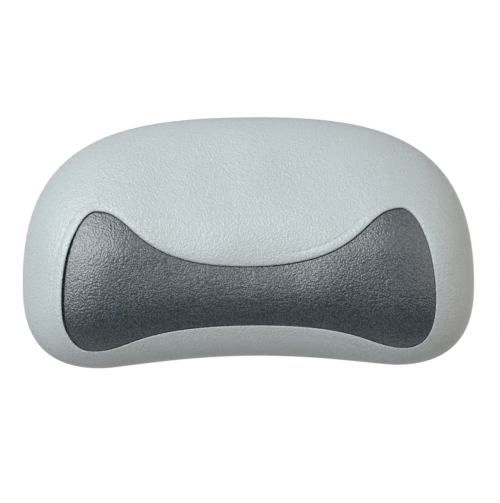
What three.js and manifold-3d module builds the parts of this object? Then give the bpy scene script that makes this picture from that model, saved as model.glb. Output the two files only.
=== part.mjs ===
// Bath pillow: a moulded foam cushion with a dark inlay pad. A core board is moulded into its back, and the
// keyholes of a back plate screwed to it hang on four suction cups.
// Millimetres. +X to the viewer's right, +Z up. The face looks along -Y, and the wall is the plane y = 0.
import * as THREE from "three";
import { mergeVertices } from "three/addons/utils/BufferGeometryUtils.js";
import Module from "manifold-3d";

const wasm = await Module();
wasm.setup();

// Cushion outline, seen from the front, with heights above its lowest point
const CUSHION_WIDTH = 310;
const CUSHION_HEIGHT = 171;
const WIDEST_HEIGHT = 58;
const FOOT_INSET = 53; // from the widest line in to the lowest point of each rounded foot
const UNDERSIDE_RISE = 7.4; // how far the bottom edge arches up at the middle
const TOP_REACH = 90; // the six reaches are the lengths of the curve handles
const SHOULDER_REACH = 99;
const FLANK_REACH = 15;
const FOOT_REACH = 54;
const FOOT_INNER_REACH = 13;
const UNDERSIDE_REACH = 50;
const SHOULDER_SHARE = 0.62; // where along the top curve the shoulder faces the inlay's horn

// Cushion depth, forward and back of the parting line where its outline is widest
const BACK_DEPTH = 14;
const BACK_ROUNDING = 12;
const NECK_DEPTH = 51.3;
const NECK_HEIGHT = 74;
const TOP_DEPTH = 32.2;
const EDGE_ROUNDING = 98; // how far in from the outline the face swells to its full depth
const EDGE_POWER = 2.1; // 2 rounds the swell like an ellipse, more makes it fuller
const EDGE_BLEND = [2, 9]; // where the way in from the outline passes from the exact to the smoothed one
const DISH_DEPTH = 6.2; // the shallow hollow for the head
const DISH_HEIGHT = 95;
const DISH_HALF_WIDTH = 107;
const DISH_HALF_HEIGHT = 89;
const DISH_POWER = 4; // how evenly the hollow runs across before its ends
const BROW_DEPTH = 3; // the valley that follows the inlay's upper edge
const BROW_FOAM_WIDTH = 28.5;
const BROW_INLAY_WIDTH = 43;
const BROW_POWER = 3; // how soon the valley fades towards the horns

// Inlay pad, a waisted shape with two horns and two feet
const INLAY_SIDE_MARGIN = 29;
const INLAY_WIDEST_HEIGHT = 45;
const INLAY_HORN_INSET = 51.6;
const INLAY_HORN_HEIGHT = 106.8;
const INLAY_FOOT_INSET = 49;
const INLAY_FOOT_HEIGHT = 12.7;
const INLAY_WAIST_TOP = 68.4;
const INLAY_WAIST_BOTTOM = 29.3;
const WAIST_TOP_REACH = 82.6;
const HORN_INNER_REACH = 28;
const HORN_OUTER_REACH = 11;
const INLAY_SHOULDER_REACH = 34.8;
const INLAY_FLANK_REACH = 13.8;
const INLAY_FOOT_REACH = 17.2;
const INLAY_FOOT_INNER_REACH = 25;
const WAIST_BOTTOM_REACH = 79.3;
const INLAY_THICKNESS = 8;
const INLAY_INSET = 1; // how far its face lies below the foam round it
const INLAY_EDGE_RADIUS = 0.7;
const INLAY_CLEARANCE = 0.5;
const LIP_WIDTH = 1.2; // the foam's edge slopes over into the recess
const LIP_DEPTH = 0.6;

// Suction cups
const CUP_DIAMETER = 45;
const CUP_HEIGHT = 12;
const CUP_SHOULDER_DIAMETER = 18;
const CUP_RIM_WIDTH = 2;
const CUP_LIP_THICKNESS = 0.8;
const CUP_HOLLOW_DEPTH = 8;
const CUP_FLARE = 1.2; // 1 makes the outside a plain cone, more lets it flare towards the rim
const CUP_HOLLOW_FULLNESS = 2.4; // how flat the bottom of the hollow is
const CUP_NECK_DIAMETER = 8;
const CUP_HEAD_DIAMETER = 14;
const CUP_HEAD_THICKNESS = 4;
const CUP_HEAD_ROUNDING = 1.2;
const CUP_SIDE_INSET = 67; // from the cushion's widest line in to the axis of a cup
const CUP_ROW_CLEARANCE = 4; // between a cup at the foot of its slot and the cup below it
const TAB_WIDTH = 10;
const TAB_REACH = 7;
const TAB_THICKNESS = 1.4;
const KEYHOLE_TRAVEL = 13;
const KEYHOLE_CLEARANCE = 0.6;

// Back plate and core board
const PLATE_INSET = 24;
const PLATE_THICKNESS = 3;
const PLATE_RECESS = 0.5;
const KEYHOLE_WEB = 8.4; // from the plate's lowest line up to the entries of the lower keyholes
const BOARD_INSET = 16;
const HEAD_SLACK = 1; // how much thicker the board is than the cup head that travels in it
const FIT_GAP = 0.3; // between pieces that seat on each other

// Screws, washers and insert nuts
const SCREW_DIAMETER = 5;
const SCREW_SETBACK = 0.5; // from the tip of the screw to the front of its nut
const SCREW_HEAD_DIAMETER = 9.5;
const SCREW_HEAD_HEIGHT = 3.2;
const SCREW_HEAD_CROWN = 1.2;
const CROSS_SPAN = 5;
const CROSS_WIDTH = 1.2;
const CROSS_DEPTH = 1.8;
const WASHER_DIAMETER = 12;
const WASHER_THICKNESS = 1;
const NUT_BARREL_DIAMETER = 8;
const NUT_FLANGE_DIAMETER = 17;
const NUT_FLANGE_THICKNESS = 1.2;
const SCREW_CUP_OFFSET = 40; // from a cup's axis in to the column of screws beside it
const END_SCREW_OFFSET = 31; // from a cup's axis out to the screw near the plate's end
const SCREW_TOP_MARGIN = 26; // from the plate's top edge down to the upper screws
const SCREW_BOTTOM_MARGIN = 22; // from the plate's lowest line up to the lower screws

// Facets
const TOP_STEPS = 9;
const SHOULDER_STEPS = 7;
const FLANK_STEPS = 7;
const UNDERSIDE_STEPS = 6;
const SMOOTHING_DETAIL = 8; // times as many points in the outline that smooths the face
const BACK_SHARES = [1, 0.71, 0.34]; // rings from the back forward to the parting line
const FACE_SHARES = [0, 0.01, 0.035, 0.085, 0.17, 0.3, 0.48, 0.72, 1]; // rings from the outline in to the lip
const INLAY_SHARES = [0, 0.4, 0.75]; // rings from the inlay's edge in to its level middle line
const CUP_SIDES = 28;
const DOME_STEPS = 5;
const FASTENER_SIDES = 16;
const HOLE_STEPS = 7;

// Depths and places that follow from the sizes above
const PLATE_Y = -CUP_HEIGHT - FIT_GAP;
const CUSHION_BACK_Y = PLATE_Y + PLATE_RECESS;
const PARTING_Y = CUSHION_BACK_Y - BACK_DEPTH;
const BOARD_Y = PLATE_Y - PLATE_THICKNESS - FIT_GAP;
const BOARD_THICKNESS = CUP_HEAD_THICKNESS + HEAD_SLACK;
const BOARD_FRONT_Y = BOARD_Y - BOARD_THICKNESS;
const NUT_SEAT_Y = BOARD_FRONT_Y + NUT_FLANGE_THICKNESS;
const SCREW_TIP_Y = BOARD_FRONT_Y + SCREW_SETBACK;
const RECESS_DEPTH = INLAY_INSET + INLAY_THICKNESS + FIT_GAP;
const SCREW_RADIUS = SCREW_DIAMETER / 2;
const NUT_BORE_RADIUS = SCREW_RADIUS + FIT_GAP;
const NECK_HOLE_RADIUS = CUP_NECK_DIAMETER / 2 + KEYHOLE_CLEARANCE;
const HEAD_HOLE_RADIUS = CUP_HEAD_DIAMETER / 2 + KEYHOLE_CLEARANCE;
const LOWER_CUP_HEIGHT = PLATE_INSET + KEYHOLE_WEB + HEAD_HOLE_RADIUS + KEYHOLE_TRAVEL;
const UPPER_CUP_HEIGHT = LOWER_CUP_HEIGHT + CUP_DIAMETER + KEYHOLE_TRAVEL + CUP_ROW_CLEARANCE;
const CUPS_MIDDLE = (LOWER_CUP_HEIGHT + UPPER_CUP_HEIGHT) / 2;
const CUP_X = CUSHION_WIDTH / 2 - CUP_SIDE_INSET;
const SCREW_X = CUP_X - SCREW_CUP_OFFSET;
const END_SCREW_X = CUP_X + END_SCREW_OFFSET;
const UPPER_SCREW_HEIGHT = CUSHION_HEIGHT - PLATE_INSET - SCREW_TOP_MARGIN;
const LOWER_SCREW_HEIGHT = PLATE_INSET + SCREW_BOTTOM_MARGIN;

const FOAM = new THREE.MeshStandardMaterial({ color: 0xc2cdcf, roughness: 0.55, metalness: 0 });
const INLAY = new THREE.MeshStandardMaterial({ color: 0x4a5259, roughness: 0.42, metalness: 0 });
const PLATE = new THREE.MeshStandardMaterial({ color: 0x6d757a, roughness: 0.5, metalness: 0 });
const BOARD = new THREE.MeshStandardMaterial({ color: 0xd9d4c6, roughness: 0.7, metalness: 0 });
const CLEAR = new THREE.MeshStandardMaterial({ color: 0xdfe8ea, roughness: 0.15, metalness: 0 });
const STEEL = new THREE.MeshStandardMaterial({ color: 0xc4c7c9, roughness: 0.3, metalness: 1 });
const ZINC = new THREE.MeshStandardMaterial({ color: 0xb5b2a6, roughness: 0.45, metalness: 1 });

// Outlines in the XZ plane

const bezier = (...points) => new THREE.CubicBezierCurve(...points.map(([x, z]) => new THREE.Vector2(x, z)));

// Points of a curve from one share of it to another, without its last one.
function stretch(curve, steps, from = 0, to = 1) {
  return Array.from({ length: steps }, (_, i) => curve.getPoint(from + ((to - from) * i) / steps));
}

// A closed ring from the half that runs from the top middle round the right side to the bottom middle.
function mirrored(half) {
  const left = half.slice(1, -1).reverse();
  return [...half, ...left.map((p) => new THREE.Vector2(-p.x, p.y))];
}

function cushionOutline(detail = 1) {
  const side = CUSHION_WIDTH / 2;
  const foot = side - FOOT_INSET;
  const top = bezier(
    [0, CUSHION_HEIGHT],
    [TOP_REACH, CUSHION_HEIGHT],
    [side, WIDEST_HEIGHT + SHOULDER_REACH],
    [side, WIDEST_HEIGHT],
  );
  const flank = bezier(
    [side, WIDEST_HEIGHT],
    [side, WIDEST_HEIGHT - FLANK_REACH],
    [foot + FOOT_REACH, 0],
    [foot, 0],
  );
  const underside = bezier(
    [foot, 0],
    [foot - FOOT_INNER_REACH, 0],
    [UNDERSIDE_REACH, UNDERSIDE_RISE],
    [0, UNDERSIDE_RISE],
  );
  return mirrored([
    ...stretch(top, TOP_STEPS * detail, 0, SHOULDER_SHARE),
    ...stretch(top, SHOULDER_STEPS * detail, SHOULDER_SHARE, 1),
    ...stretch(flank, FLANK_STEPS * detail),
    ...stretch(underside, UNDERSIDE_STEPS * detail),
    underside.getPoint(1),
  ]);
}

function inlayOutline() {
  const side = CUSHION_WIDTH / 2 - INLAY_SIDE_MARGIN;
  const horn = CUSHION_WIDTH / 2 - INLAY_HORN_INSET;
  const foot = CUSHION_WIDTH / 2 - INLAY_FOOT_INSET;
  const waistTop = bezier(
    [0, INLAY_WAIST_TOP],
    [WAIST_TOP_REACH, INLAY_WAIST_TOP],
    [horn - HORN_INNER_REACH, INLAY_HORN_HEIGHT],
    [horn, INLAY_HORN_HEIGHT],
  );
  const shoulder = bezier(
    [horn, INLAY_HORN_HEIGHT],
    [horn + HORN_OUTER_REACH, INLAY_HORN_HEIGHT],
    [side, INLAY_WIDEST_HEIGHT + INLAY_SHOULDER_REACH],
    [side, INLAY_WIDEST_HEIGHT],
  );
  const flank = bezier(
    [side, INLAY_WIDEST_HEIGHT],
    [side, INLAY_WIDEST_HEIGHT - INLAY_FLANK_REACH],
    [foot + INLAY_FOOT_REACH, INLAY_FOOT_HEIGHT],
    [foot, INLAY_FOOT_HEIGHT],
  );
  const waistBottom = bezier(
    [foot, INLAY_FOOT_HEIGHT],
    [foot - INLAY_FOOT_INNER_REACH, INLAY_FOOT_HEIGHT],
    [WAIST_BOTTOM_REACH, INLAY_WAIST_BOTTOM],
    [0, INLAY_WAIST_BOTTOM],
  );
  return mirrored([
    ...stretch(waistTop, TOP_STEPS),
    ...stretch(shoulder, SHOULDER_STEPS),
    ...stretch(flank, FLANK_STEPS),
    ...stretch(waistBottom, UNDERSIDE_STEPS),
    waistBottom.getPoint(1),
  ]);
}

// The ring moved in by a distance square to itself, or out by a negative one.
function inset(ring, distance) {
  return ring.map((p, i) => {
    const before = ring.at(i - 1);
    const after = ring[(i + 1) % ring.length];
    const along = after.clone().sub(before).normalize();
    return new THREE.Vector2(p.x + along.y * distance, p.y - along.x * distance);
  });
}

// An inlay ring and the ones inside it, drawn in towards the level line through its widest points.
function inwards(ring) {
  const drawnIn = (p, share) => new THREE.Vector2(p.x, THREE.MathUtils.lerp(p.y, INLAY_WIDEST_HEIGHT, share));
  return INLAY_SHARES.map((share) => ring.map((p) => drawnIn(p, share)));
}

const between = (from, to, share) => from.map((p, i) => p.clone().lerp(to[i], share));

// Surfaces

const OUTLINE = cushionOutline();
const FINE_OUTLINE = cushionOutline(SMOOTHING_DETAIL);
const INLAY_RING = inlayOutline();
const INLAY_RINGS = inwards(INLAY_RING);
const WAIST = INLAY_RING.slice(0, TOP_STEPS + 1);

function distanceToOutline(x, z) {
  const point = new THREE.Vector3(x, z, 0);
  const nearest = new THREE.Vector3();
  const edge = new THREE.Line3();
  return OUTLINE.reduce((least, p, i) => {
    const next = OUTLINE[(i + 1) % OUTLINE.length];
    edge.set(new THREE.Vector3(p.x, p.y, 0), new THREE.Vector3(next.x, next.y, 0));
    edge.closestPointToPoint(point, true, nearest);
    return Math.min(least, nearest.distanceTo(point));
  }, Infinity);
}

// The way in from the outline, smoothed so that no crease runs where two edges are equally near. Every piece
// of the outline pulls with its length over the fourth power of its distance, and a straight edge gives the
// true distance.
function wayIn(x, z) {
  const near = distanceToOutline(x, z);
  if (near < EDGE_BLEND[0]) return near;
  const pull = FINE_OUTLINE.reduce((sum, p, i) => {
    const next = FINE_OUTLINE[(i + 1) % FINE_OUTLINE.length];
    const apart = Math.hypot(x - (p.x + next.x) / 2, z - (p.y + next.y) / 2);
    return sum + p.distanceTo(next) / apart ** 4;
  }, 0);
  const smoothed = (pull / (Math.PI / 2)) ** (-1 / 3);
  return THREE.MathUtils.lerp(near, smoothed, THREE.MathUtils.smoothstep(near, ...EDGE_BLEND));
}

// The valley along the inlay's upper edge, from 1 at its middle to 0 at the horns and away from it.
function brow(x, z) {
  const across = Math.abs(x);
  const last = WAIST.findIndex((p) => p.x > across);
  if (last < 1) return 0;
  const [before, after] = WAIST.slice(last - 1, last + 1);
  const above = z - THREE.MathUtils.mapLinear(across, before.x, after.x, before.y, after.y);
  const width = above > 0 ? BROW_FOAM_WIDTH : BROW_INLAY_WIDTH;
  const fade = (1 - (across / WAIST.at(-1).x) ** 2) ** BROW_POWER;
  return fade * Math.max(1 - Math.abs(above) / width, 0) ** 2;
}

// How far forward of the parting line the cushion's face lies away from its rounded edge.
function crown(x, z) {
  const towardsTop = THREE.MathUtils.smoothstep(z, NECK_HEIGHT, CUSHION_HEIGHT);
  const upright = ((z - DISH_HEIGHT) / DISH_HALF_HEIGHT) ** 2;
  const dish = Math.exp(-(Math.abs(x / DISH_HALF_WIDTH) ** DISH_POWER) - upright);
  const forward = THREE.MathUtils.lerp(NECK_DEPTH, TOP_DEPTH, towardsTop);
  return forward - DISH_DEPTH * dish - BROW_DEPTH * brow(x, z);
}

function faceY(x, z) {
  const remaining = 1 - Math.min(wayIn(x, z) / EDGE_ROUNDING, 1);
  return PARTING_Y - crown(x, z) * (1 - remaining ** EDGE_POWER) ** (1 / EDGE_POWER);
}

// A ring of the XZ plane laid on the cushion's face, and then sunk below it.
const onFace = (ring, sunk) => ring.map((p) => new THREE.Vector3(p.x, faceY(p.x, p.y) + sunk, p.y));
const atDepth = (ring, y) => ring.map((p) => new THREE.Vector3(p.x, y, p.y));

// Solids

// A closed body through rings that run from its back to its front, with a flat cap on each end.
function loft(rings) {
  const count = rings[0].length;
  const points = rings.flat();
  const index = [];
  for (let k = 0; k + 1 < rings.length; k++) {
    for (let i = 0; i < count; i++) {
      const j = (i + 1) % count;
      const [a, b, c, d] = [k * count + i, k * count + j, (k + 1) * count + j, (k + 1) * count + i];
      const shorter = points[a].distanceTo(points[c]) < points[b].distanceTo(points[d]);
      index.push(...(shorter ? [a, c, b, a, d, c] : [a, d, b, b, d, c]));
    }
  }
  const cap = (ring, first, facing) => {
    const flat = ring.map((p) => new THREE.Vector2(p.x, p.z));
    for (const [a, b, c] of THREE.ShapeUtils.triangulateShape(flat, [])) {
      const turn = THREE.ShapeUtils.area([flat[a], flat[b], flat[c]]);
      index.push(first + a, ...(turn * facing > 0 ? [first + b, first + c] : [first + c, first + b]));
    }
  };
  cap(rings[0], 0, -1);
  cap(rings.at(-1), (rings.length - 1) * count, 1);
  const positions = points.flatMap((p) => [p.x, p.y, p.z]);
  return new THREE.BufferGeometry()
    .setAttribute("position", new THREE.Float32BufferAttribute(positions, 3))
    .setIndex(index);
}

// A plate of an outline with holes, from its back plane forward by its thickness.
function slab(ring, backY, thickness, holes = []) {
  const shape = new THREE.Shape(ring);
  shape.holes.push(...holes);
  const options = { depth: thickness, bevelEnabled: false, curveSegments: HOLE_STEPS };
  return new THREE.ExtrudeGeometry(shape, options).rotateX(Math.PI / 2).translate(0, backY, 0);
}

// A body turned about the Y axis from a profile of [radius, y] pairs.
function turned(profile, sides) {
  return new THREE.LatheGeometry(
    profile.map(([radius, y]) => new THREE.Vector2(radius, y)),
    sides,
  );
}

function toSolid(geometry) {
  const bare = new THREE.BufferGeometry().setAttribute("position", geometry.getAttribute("position"));
  const merged = mergeVertices(bare.setIndex(geometry.index));
  const triangles = [];
  for (let i = 0; i < merged.index.count; i += 3) {
    const [a, b, c] = merged.index.array.subarray(i, i + 3);
    if (a !== b && b !== c && c !== a) triangles.push(a, b, c);
  }
  const vertProperties = merged.getAttribute("position").array;
  const triVerts = new Uint32Array(triangles);
  return new wasm.Manifold(new wasm.Mesh({ numProp: 3, vertProperties, triVerts }));
}

function toGeometry(solid) {
  const { vertProperties, triVerts } = solid.getMesh();
  const geometry = new THREE.BufferGeometry();
  geometry.setAttribute("position", new THREE.BufferAttribute(vertProperties, 3));
  geometry.setIndex(new THREE.BufferAttribute(triVerts, 1));
  geometry.computeVertexNormals();
  return geometry;
}

function cut(geometry, tools) {
  return toGeometry(tools.reduce((left, tool) => left.subtract(toSolid(tool)), toSolid(geometry)));
}

const join = (a, b) => toGeometry(toSolid(a).add(toSolid(b)));

// Places on the back of the cushion, as [name, x, height]

const pair = (row, x, z) => [
  [`${row}_left`, -x, z],
  [`${row}_right`, x, z],
];
const CUP_PLACES = [...pair("upper", CUP_X, UPPER_CUP_HEIGHT), ...pair("lower", CUP_X, LOWER_CUP_HEIGHT)];
const SCREW_PLACES = [
  ...pair("upper", SCREW_X, UPPER_SCREW_HEIGHT),
  ...pair("lower", SCREW_X, LOWER_SCREW_HEIGHT),
  ...pair("end", END_SCREW_X, CUPS_MIDDLE),
];

const roundHole = (radius) => ([, x, z]) => new THREE.Path().absarc(x, z, radius, 0, 2 * Math.PI);

// A slot that holds the cup's neck at its top end, with a round entry for the head at its foot.
function keyhole([, x, z]) {
  const mouth = Math.acos(NECK_HOLE_RADIUS / HEAD_HOLE_RADIUS);
  return new THREE.Path()
    .absarc(x, z, NECK_HOLE_RADIUS, 0, Math.PI)
    .absarc(x, z - KEYHOLE_TRAVEL, HEAD_HOLE_RADIUS, Math.PI - mouth, 2 * Math.PI + mouth)
    .closePath();
}

// The window in the board where the cup's head travels behind its keyhole.
function headWindow([, x, z]) {
  return new THREE.Path()
    .absarc(x, z, HEAD_HOLE_RADIUS, 0, Math.PI)
    .absarc(x, z - KEYHOLE_TRAVEL, HEAD_HOLE_RADIUS, Math.PI, 2 * Math.PI)
    .closePath();
}

// Sub-parts

function cushionBody() {
  const recess = inset(INLAY_RING, -INLAY_CLEARANCE);
  const lip = inset(recess, -LIP_WIDTH);
  const backRings = BACK_SHARES.map((share) => {
    const pulledIn = BACK_ROUNDING * (1 - Math.sqrt(1 - share ** 2));
    return atDepth(inset(OUTLINE, pulledIn), PARTING_Y + BACK_DEPTH * share);
  });
  const faceRings = FACE_SHARES.map((share) => onFace(between(OUTLINE, lip, share), 0));
  const lipRing = onFace(recess, LIP_DEPTH);
  const floorRings = [recess, ...INLAY_RINGS].map((ring) => onFace(ring, RECESS_DEPTH));
  const body = loft([...backRings, ...faceRings, lipRing, ...floorRings]);
  const pocketRing = inset(OUTLINE, PLATE_INSET - FIT_GAP);
  const platePocket = slab(pocketRing, CUSHION_BACK_Y + FIT_GAP, CUSHION_BACK_Y - BOARD_Y + FIT_GAP);
  const slotRing = inset(OUTLINE, BOARD_INSET - FIT_GAP);
  const boardSlot = slab(slotRing, BOARD_Y + FIT_GAP, BOARD_THICKNESS + 2 * FIT_GAP);
  return cut(body, [platePocket, boardSlot]);
}

function inlayPad() {
  const backRings = INLAY_RINGS.toReversed().map((ring) => onFace(ring, INLAY_INSET + INLAY_THICKNESS));
  const edge = onFace(INLAY_RING, INLAY_INSET + INLAY_EDGE_RADIUS);
  const faceRings = inwards(inset(INLAY_RING, INLAY_EDGE_RADIUS)).map((ring) => onFace(ring, INLAY_INSET));
  return loft([...backRings, edge, ...faceRings]);
}

// The board, with a window for each cup head and a stepped hole that takes each nut flush with its front.
function coreBoard() {
  const nutHole = roundHole(NUT_BARREL_DIAMETER / 2 + FIT_GAP);
  const holes = [...CUP_PLACES.map(headWindow), ...SCREW_PLACES.map(nutHole)];
  const board = slab(inset(OUTLINE, BOARD_INSET), BOARD_Y, BOARD_THICKNESS, holes);
  const seatRadius = NUT_FLANGE_DIAMETER / 2 + FIT_GAP;
  const seatDepth = NUT_FLANGE_THICKNESS + FIT_GAP;
  const seat = new THREE.CylinderGeometry(seatRadius, seatRadius, 2 * seatDepth, FASTENER_SIDES);
  return cut(
    board,
    SCREW_PLACES.map(([, x, z]) => seat.clone().translate(x, BOARD_FRONT_Y, z)),
  );
}

function backPlate() {
  const screwHole = roundHole(NUT_BORE_RADIUS);
  const holes = [...CUP_PLACES.map(keyhole), ...SCREW_PLACES.map(screwHole)];
  return slab(inset(OUTLINE, PLATE_INSET), PLATE_Y, PLATE_THICKNESS, holes);
}

// A cup with its rim on the wall, its neck through the plate and its head in the board's window.
function suctionCup(tabSide) {
  const rim = CUP_DIAMETER / 2;
  const shoulder = CUP_SHOULDER_DIAMETER / 2;
  const neck = CUP_NECK_DIAMETER / 2;
  const head = CUP_HEAD_DIAMETER / 2;
  const hollow = rim - CUP_RIM_WIDTH;
  const headBackY = BOARD_Y;
  const headFrontY = headBackY - CUP_HEAD_THICKNESS;
  const steps = Array.from({ length: DOME_STEPS + 1 }, (_, i) => i / DOME_STEPS);
  const outside = steps.map((share) => [
    THREE.MathUtils.lerp(shoulder, rim, share),
    -THREE.MathUtils.lerp(CUP_HEIGHT, CUP_LIP_THICKNESS, share ** CUP_FLARE),
  ]);
  const inside = steps.map((share) => [
    hollow * (1 - share),
    -CUP_HOLLOW_DEPTH * (1 - (1 - share) ** CUP_HOLLOW_FULLNESS),
  ]);
  const profile = [
    [0, headFrontY],
    [head - CUP_HEAD_ROUNDING, headFrontY],
    [head, headFrontY + CUP_HEAD_ROUNDING],
    [head, headBackY],
    [neck, headBackY],
    [neck, -CUP_HEIGHT],
    ...outside,
    [rim, 0],
    ...inside,
  ];
  const tabInner = rim - CUP_RIM_WIDTH;
  const tab = new THREE.BoxGeometry(CUP_RIM_WIDTH + TAB_REACH, TAB_THICKNESS, TAB_WIDTH);
  tab.translate(tabSide * (tabInner + (CUP_RIM_WIDTH + TAB_REACH) / 2), -TAB_THICKNESS, 0);
  return join(turned(profile, CUP_SIDES), tab);
}

function screw() {
  const underHead = PLATE_Y + WASHER_THICKNESS + 2 * FIT_GAP;
  const top = underHead + SCREW_HEAD_HEIGHT;
  const head = SCREW_HEAD_DIAMETER / 2;
  const body = turned(
    [
      [0, SCREW_TIP_Y],
      [SCREW_RADIUS - FIT_GAP, SCREW_TIP_Y],
      [SCREW_RADIUS, SCREW_TIP_Y + FIT_GAP],
      [SCREW_RADIUS, underHead],
      [head, underHead],
      [head, top - SCREW_HEAD_CROWN],
      [head - SCREW_HEAD_CROWN, top],
      [0, top],
    ],
    FASTENER_SIDES,
  );
  const bar = (width, length) => new THREE.BoxGeometry(width, 2 * CROSS_DEPTH, length).translate(0, top, 0);
  return cut(body, [bar(CROSS_SPAN, CROSS_WIDTH), bar(CROSS_WIDTH, CROSS_SPAN)]);
}

function washer() {
  const back = PLATE_Y + FIT_GAP;
  const inner = NUT_BORE_RADIUS;
  const outer = WASHER_DIAMETER / 2;
  return turned(
    [
      [inner, back],
      [outer, back],
      [outer, back + WASHER_THICKNESS],
      [inner, back + WASHER_THICKNESS],
      [inner, back],
    ],
    FASTENER_SIDES,
  );
}

function insertNut() {
  const barrel = NUT_BARREL_DIAMETER / 2;
  const flange = NUT_FLANGE_DIAMETER / 2;
  return turned(
    [
      [NUT_BORE_RADIUS, BOARD_FRONT_Y],
      [flange, BOARD_FRONT_Y],
      [flange, NUT_SEAT_Y],
      [barrel, NUT_SEAT_Y],
      [barrel, BOARD_Y - FIT_GAP],
      [NUT_BORE_RADIUS, BOARD_Y - FIT_GAP],
      [NUT_BORE_RADIUS, BOARD_FRONT_Y],
    ],
    FASTENER_SIDES,
  );
}

// Assembly

function piece(name, geometry, material, x = 0, z = 0) {
  const mesh = new THREE.Mesh(geometry, material);
  mesh.name = name;
  mesh.position.set(x, 0, z);
  return mesh;
}

const pillow = new THREE.Group();
pillow.name = "bath_pillow";
pillow.add(
  piece("cushion_body", cushionBody(), FOAM),
  piece("inlay_pad", inlayPad(), INLAY),
  piece("core_board", coreBoard(), BOARD),
  piece("back_plate", backPlate(), PLATE),
);
for (const [place, x, z] of SCREW_PLACES) {
  pillow.add(
    piece(`insert_nut_${place}`, insertNut(), ZINC, x, z),
    piece(`washer_${place}`, washer(), STEEL, x, z),
    piece(`screw_${place}`, screw(), STEEL, x, z),
  );
}
for (const [place, x, z] of CUP_PLACES) {
  pillow.add(piece(`suction_cup_${place}`, suctionCup(Math.sign(x)), CLEAR, x, z));
}

// The origin is on the wall, at the middle of the four cups.
pillow.position.z = -CUPS_MIDDLE;
const part = new THREE.Group();
part.add(pillow);

export default part;
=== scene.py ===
"""Bath pillow: a moulded foam cushion with a soft inlay, held on a wall by four suction cups.

Lengths are in metres, with +X to the right, +Z up and the wall at y = 0. The face looks along -Y.
"""

import math

import bmesh
import bpy
import numpy as np
from bpy.props import FloatProperty, FloatVectorProperty, PointerProperty
from mathutils import Matrix, Vector, noise
from mathutils.kdtree import KDTree


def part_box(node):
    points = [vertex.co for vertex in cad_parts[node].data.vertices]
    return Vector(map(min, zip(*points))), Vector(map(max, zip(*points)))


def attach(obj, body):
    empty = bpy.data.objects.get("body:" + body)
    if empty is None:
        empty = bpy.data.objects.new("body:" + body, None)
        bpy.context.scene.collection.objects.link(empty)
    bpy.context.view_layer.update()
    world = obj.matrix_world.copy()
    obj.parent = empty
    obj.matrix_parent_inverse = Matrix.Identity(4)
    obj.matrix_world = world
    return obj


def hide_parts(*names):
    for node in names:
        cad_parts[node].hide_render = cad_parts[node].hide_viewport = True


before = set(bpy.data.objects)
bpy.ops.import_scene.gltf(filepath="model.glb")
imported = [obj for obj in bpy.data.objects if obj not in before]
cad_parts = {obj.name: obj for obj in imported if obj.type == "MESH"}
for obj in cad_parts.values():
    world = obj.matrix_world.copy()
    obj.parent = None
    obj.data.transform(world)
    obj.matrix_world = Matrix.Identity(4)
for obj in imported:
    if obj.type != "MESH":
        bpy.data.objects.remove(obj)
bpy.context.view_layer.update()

bl_info = {
    "name": "Bath Pillow",
    "version": (1, 0, 0),
    "blender": (4, 5, 0),
    "location": "3D View > Sidebar > Bath Pillow",
    "description": "Builds a bath pillow with a soft inlay and four suction cups",
    "category": "Add Mesh",
}

# Places of the pieces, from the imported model
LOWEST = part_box("cushion_body")[0].z
BACK_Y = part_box("cushion_body")[1].y
BOARD_FRONT_Y, BOARD_BACK_Y = (corner.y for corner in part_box("core_board"))
PLATE_FRONT_Y, PLATE_BACK_Y = (corner.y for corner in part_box("back_plate"))
CUP_HEAD_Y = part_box("suction_cup_upper_left")[0].y
CORNERS = ("upper_left", "upper_right", "lower_left", "lower_right")
FIXINGS = (*CORNERS, "end_left", "end_right")
SCREWS = [f"screw_{place}" for place in FIXINGS]
WASHERS = [f"washer_{place}" for place in FIXINGS]
NUTS = [f"insert_nut_{place}" for place in FIXINGS]
CUPS = [f"suction_cup_{place}" for place in CORNERS]

# Fineness of the meshes
TOP_STEPS = 150
SHOULDER_STEPS = 70
FLANK_STEPS = 60
UNDERSIDE_STEPS = 100
FACE_RINGS = 60
CREASE_RINGS = 7
LIP_RINGS = 16
BACK_RINGS = 14
EDGE_RINGS = 6
PAD_RINGS = 96
CUP_SIDES = 192
SCREW_SIDES = 48
CUP_STEPS = 26
KEYHOLE_STEPS = 20
DOME_STEPS = 14
BEAD_SIDES = 16
BEVEL_STEPS = 2
OUTLINE_STRIDE = 4
SHARP_ANGLE = math.radians(40.0)
MERGE_DISTANCE = 1e-6

# The face: powers of its curves, and the ways from the edge over which its smoothing sets in
SMOOTHING = (0.002, 0.009)
EDGE_POWER = 2.1
DISH_POWER = 4
BROW_POWER = 3

# Hollows pressed into the foam: x, height, reach to the side, reach up and depth
HOLLOWS = (
    (-0.002, 0.118, 0.074, 0.055, 0.0034),
    (-0.023, 0.124, 0.015, 0.018, 0.0006),
)

# The recess edge: parts of its direction, and heights, between which each of its forms sets in
PRESS_SIDES = (-0.5, 0.3)
PRESS_HEIGHTS = (0.058, 0.082)
EASE_SIDES = (-0.1, 0.5)
FREE_SIDES = (0.88, 1.0)
BELOW_SIDES = (-0.6, 0.2)

# The inlay: how far its rings are drawn in, how its pebbles are bent out of a regular pattern, and
# the cell distances over which its creases turn dull and take painted shade
PAD_DRAW = 0.06
PAD_MIDDLE = 0.995
PAD_SHARES = (0.3, 0.6, 0.85, PAD_MIDDLE)
WARP_SCALE = 0.6
WARP_AMOUNT = 0.5
PEBBLE_SMOOTHNESS = 0.3
CREASE_CELLS = (0.1, 0.6)

# Screws: shares of the shank's and the head's radius, and of the recess's span and width
POINT_SHARES = (0.6, 0.4)
BRIM_SHARES = (0.94, 0.06)
RECESS_SHARES = (0.45, 0.7)
DOME_END = math.radians(86.0)
SCREW_TURN = 2.4
TOOL_MARK = 0.00035

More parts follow.
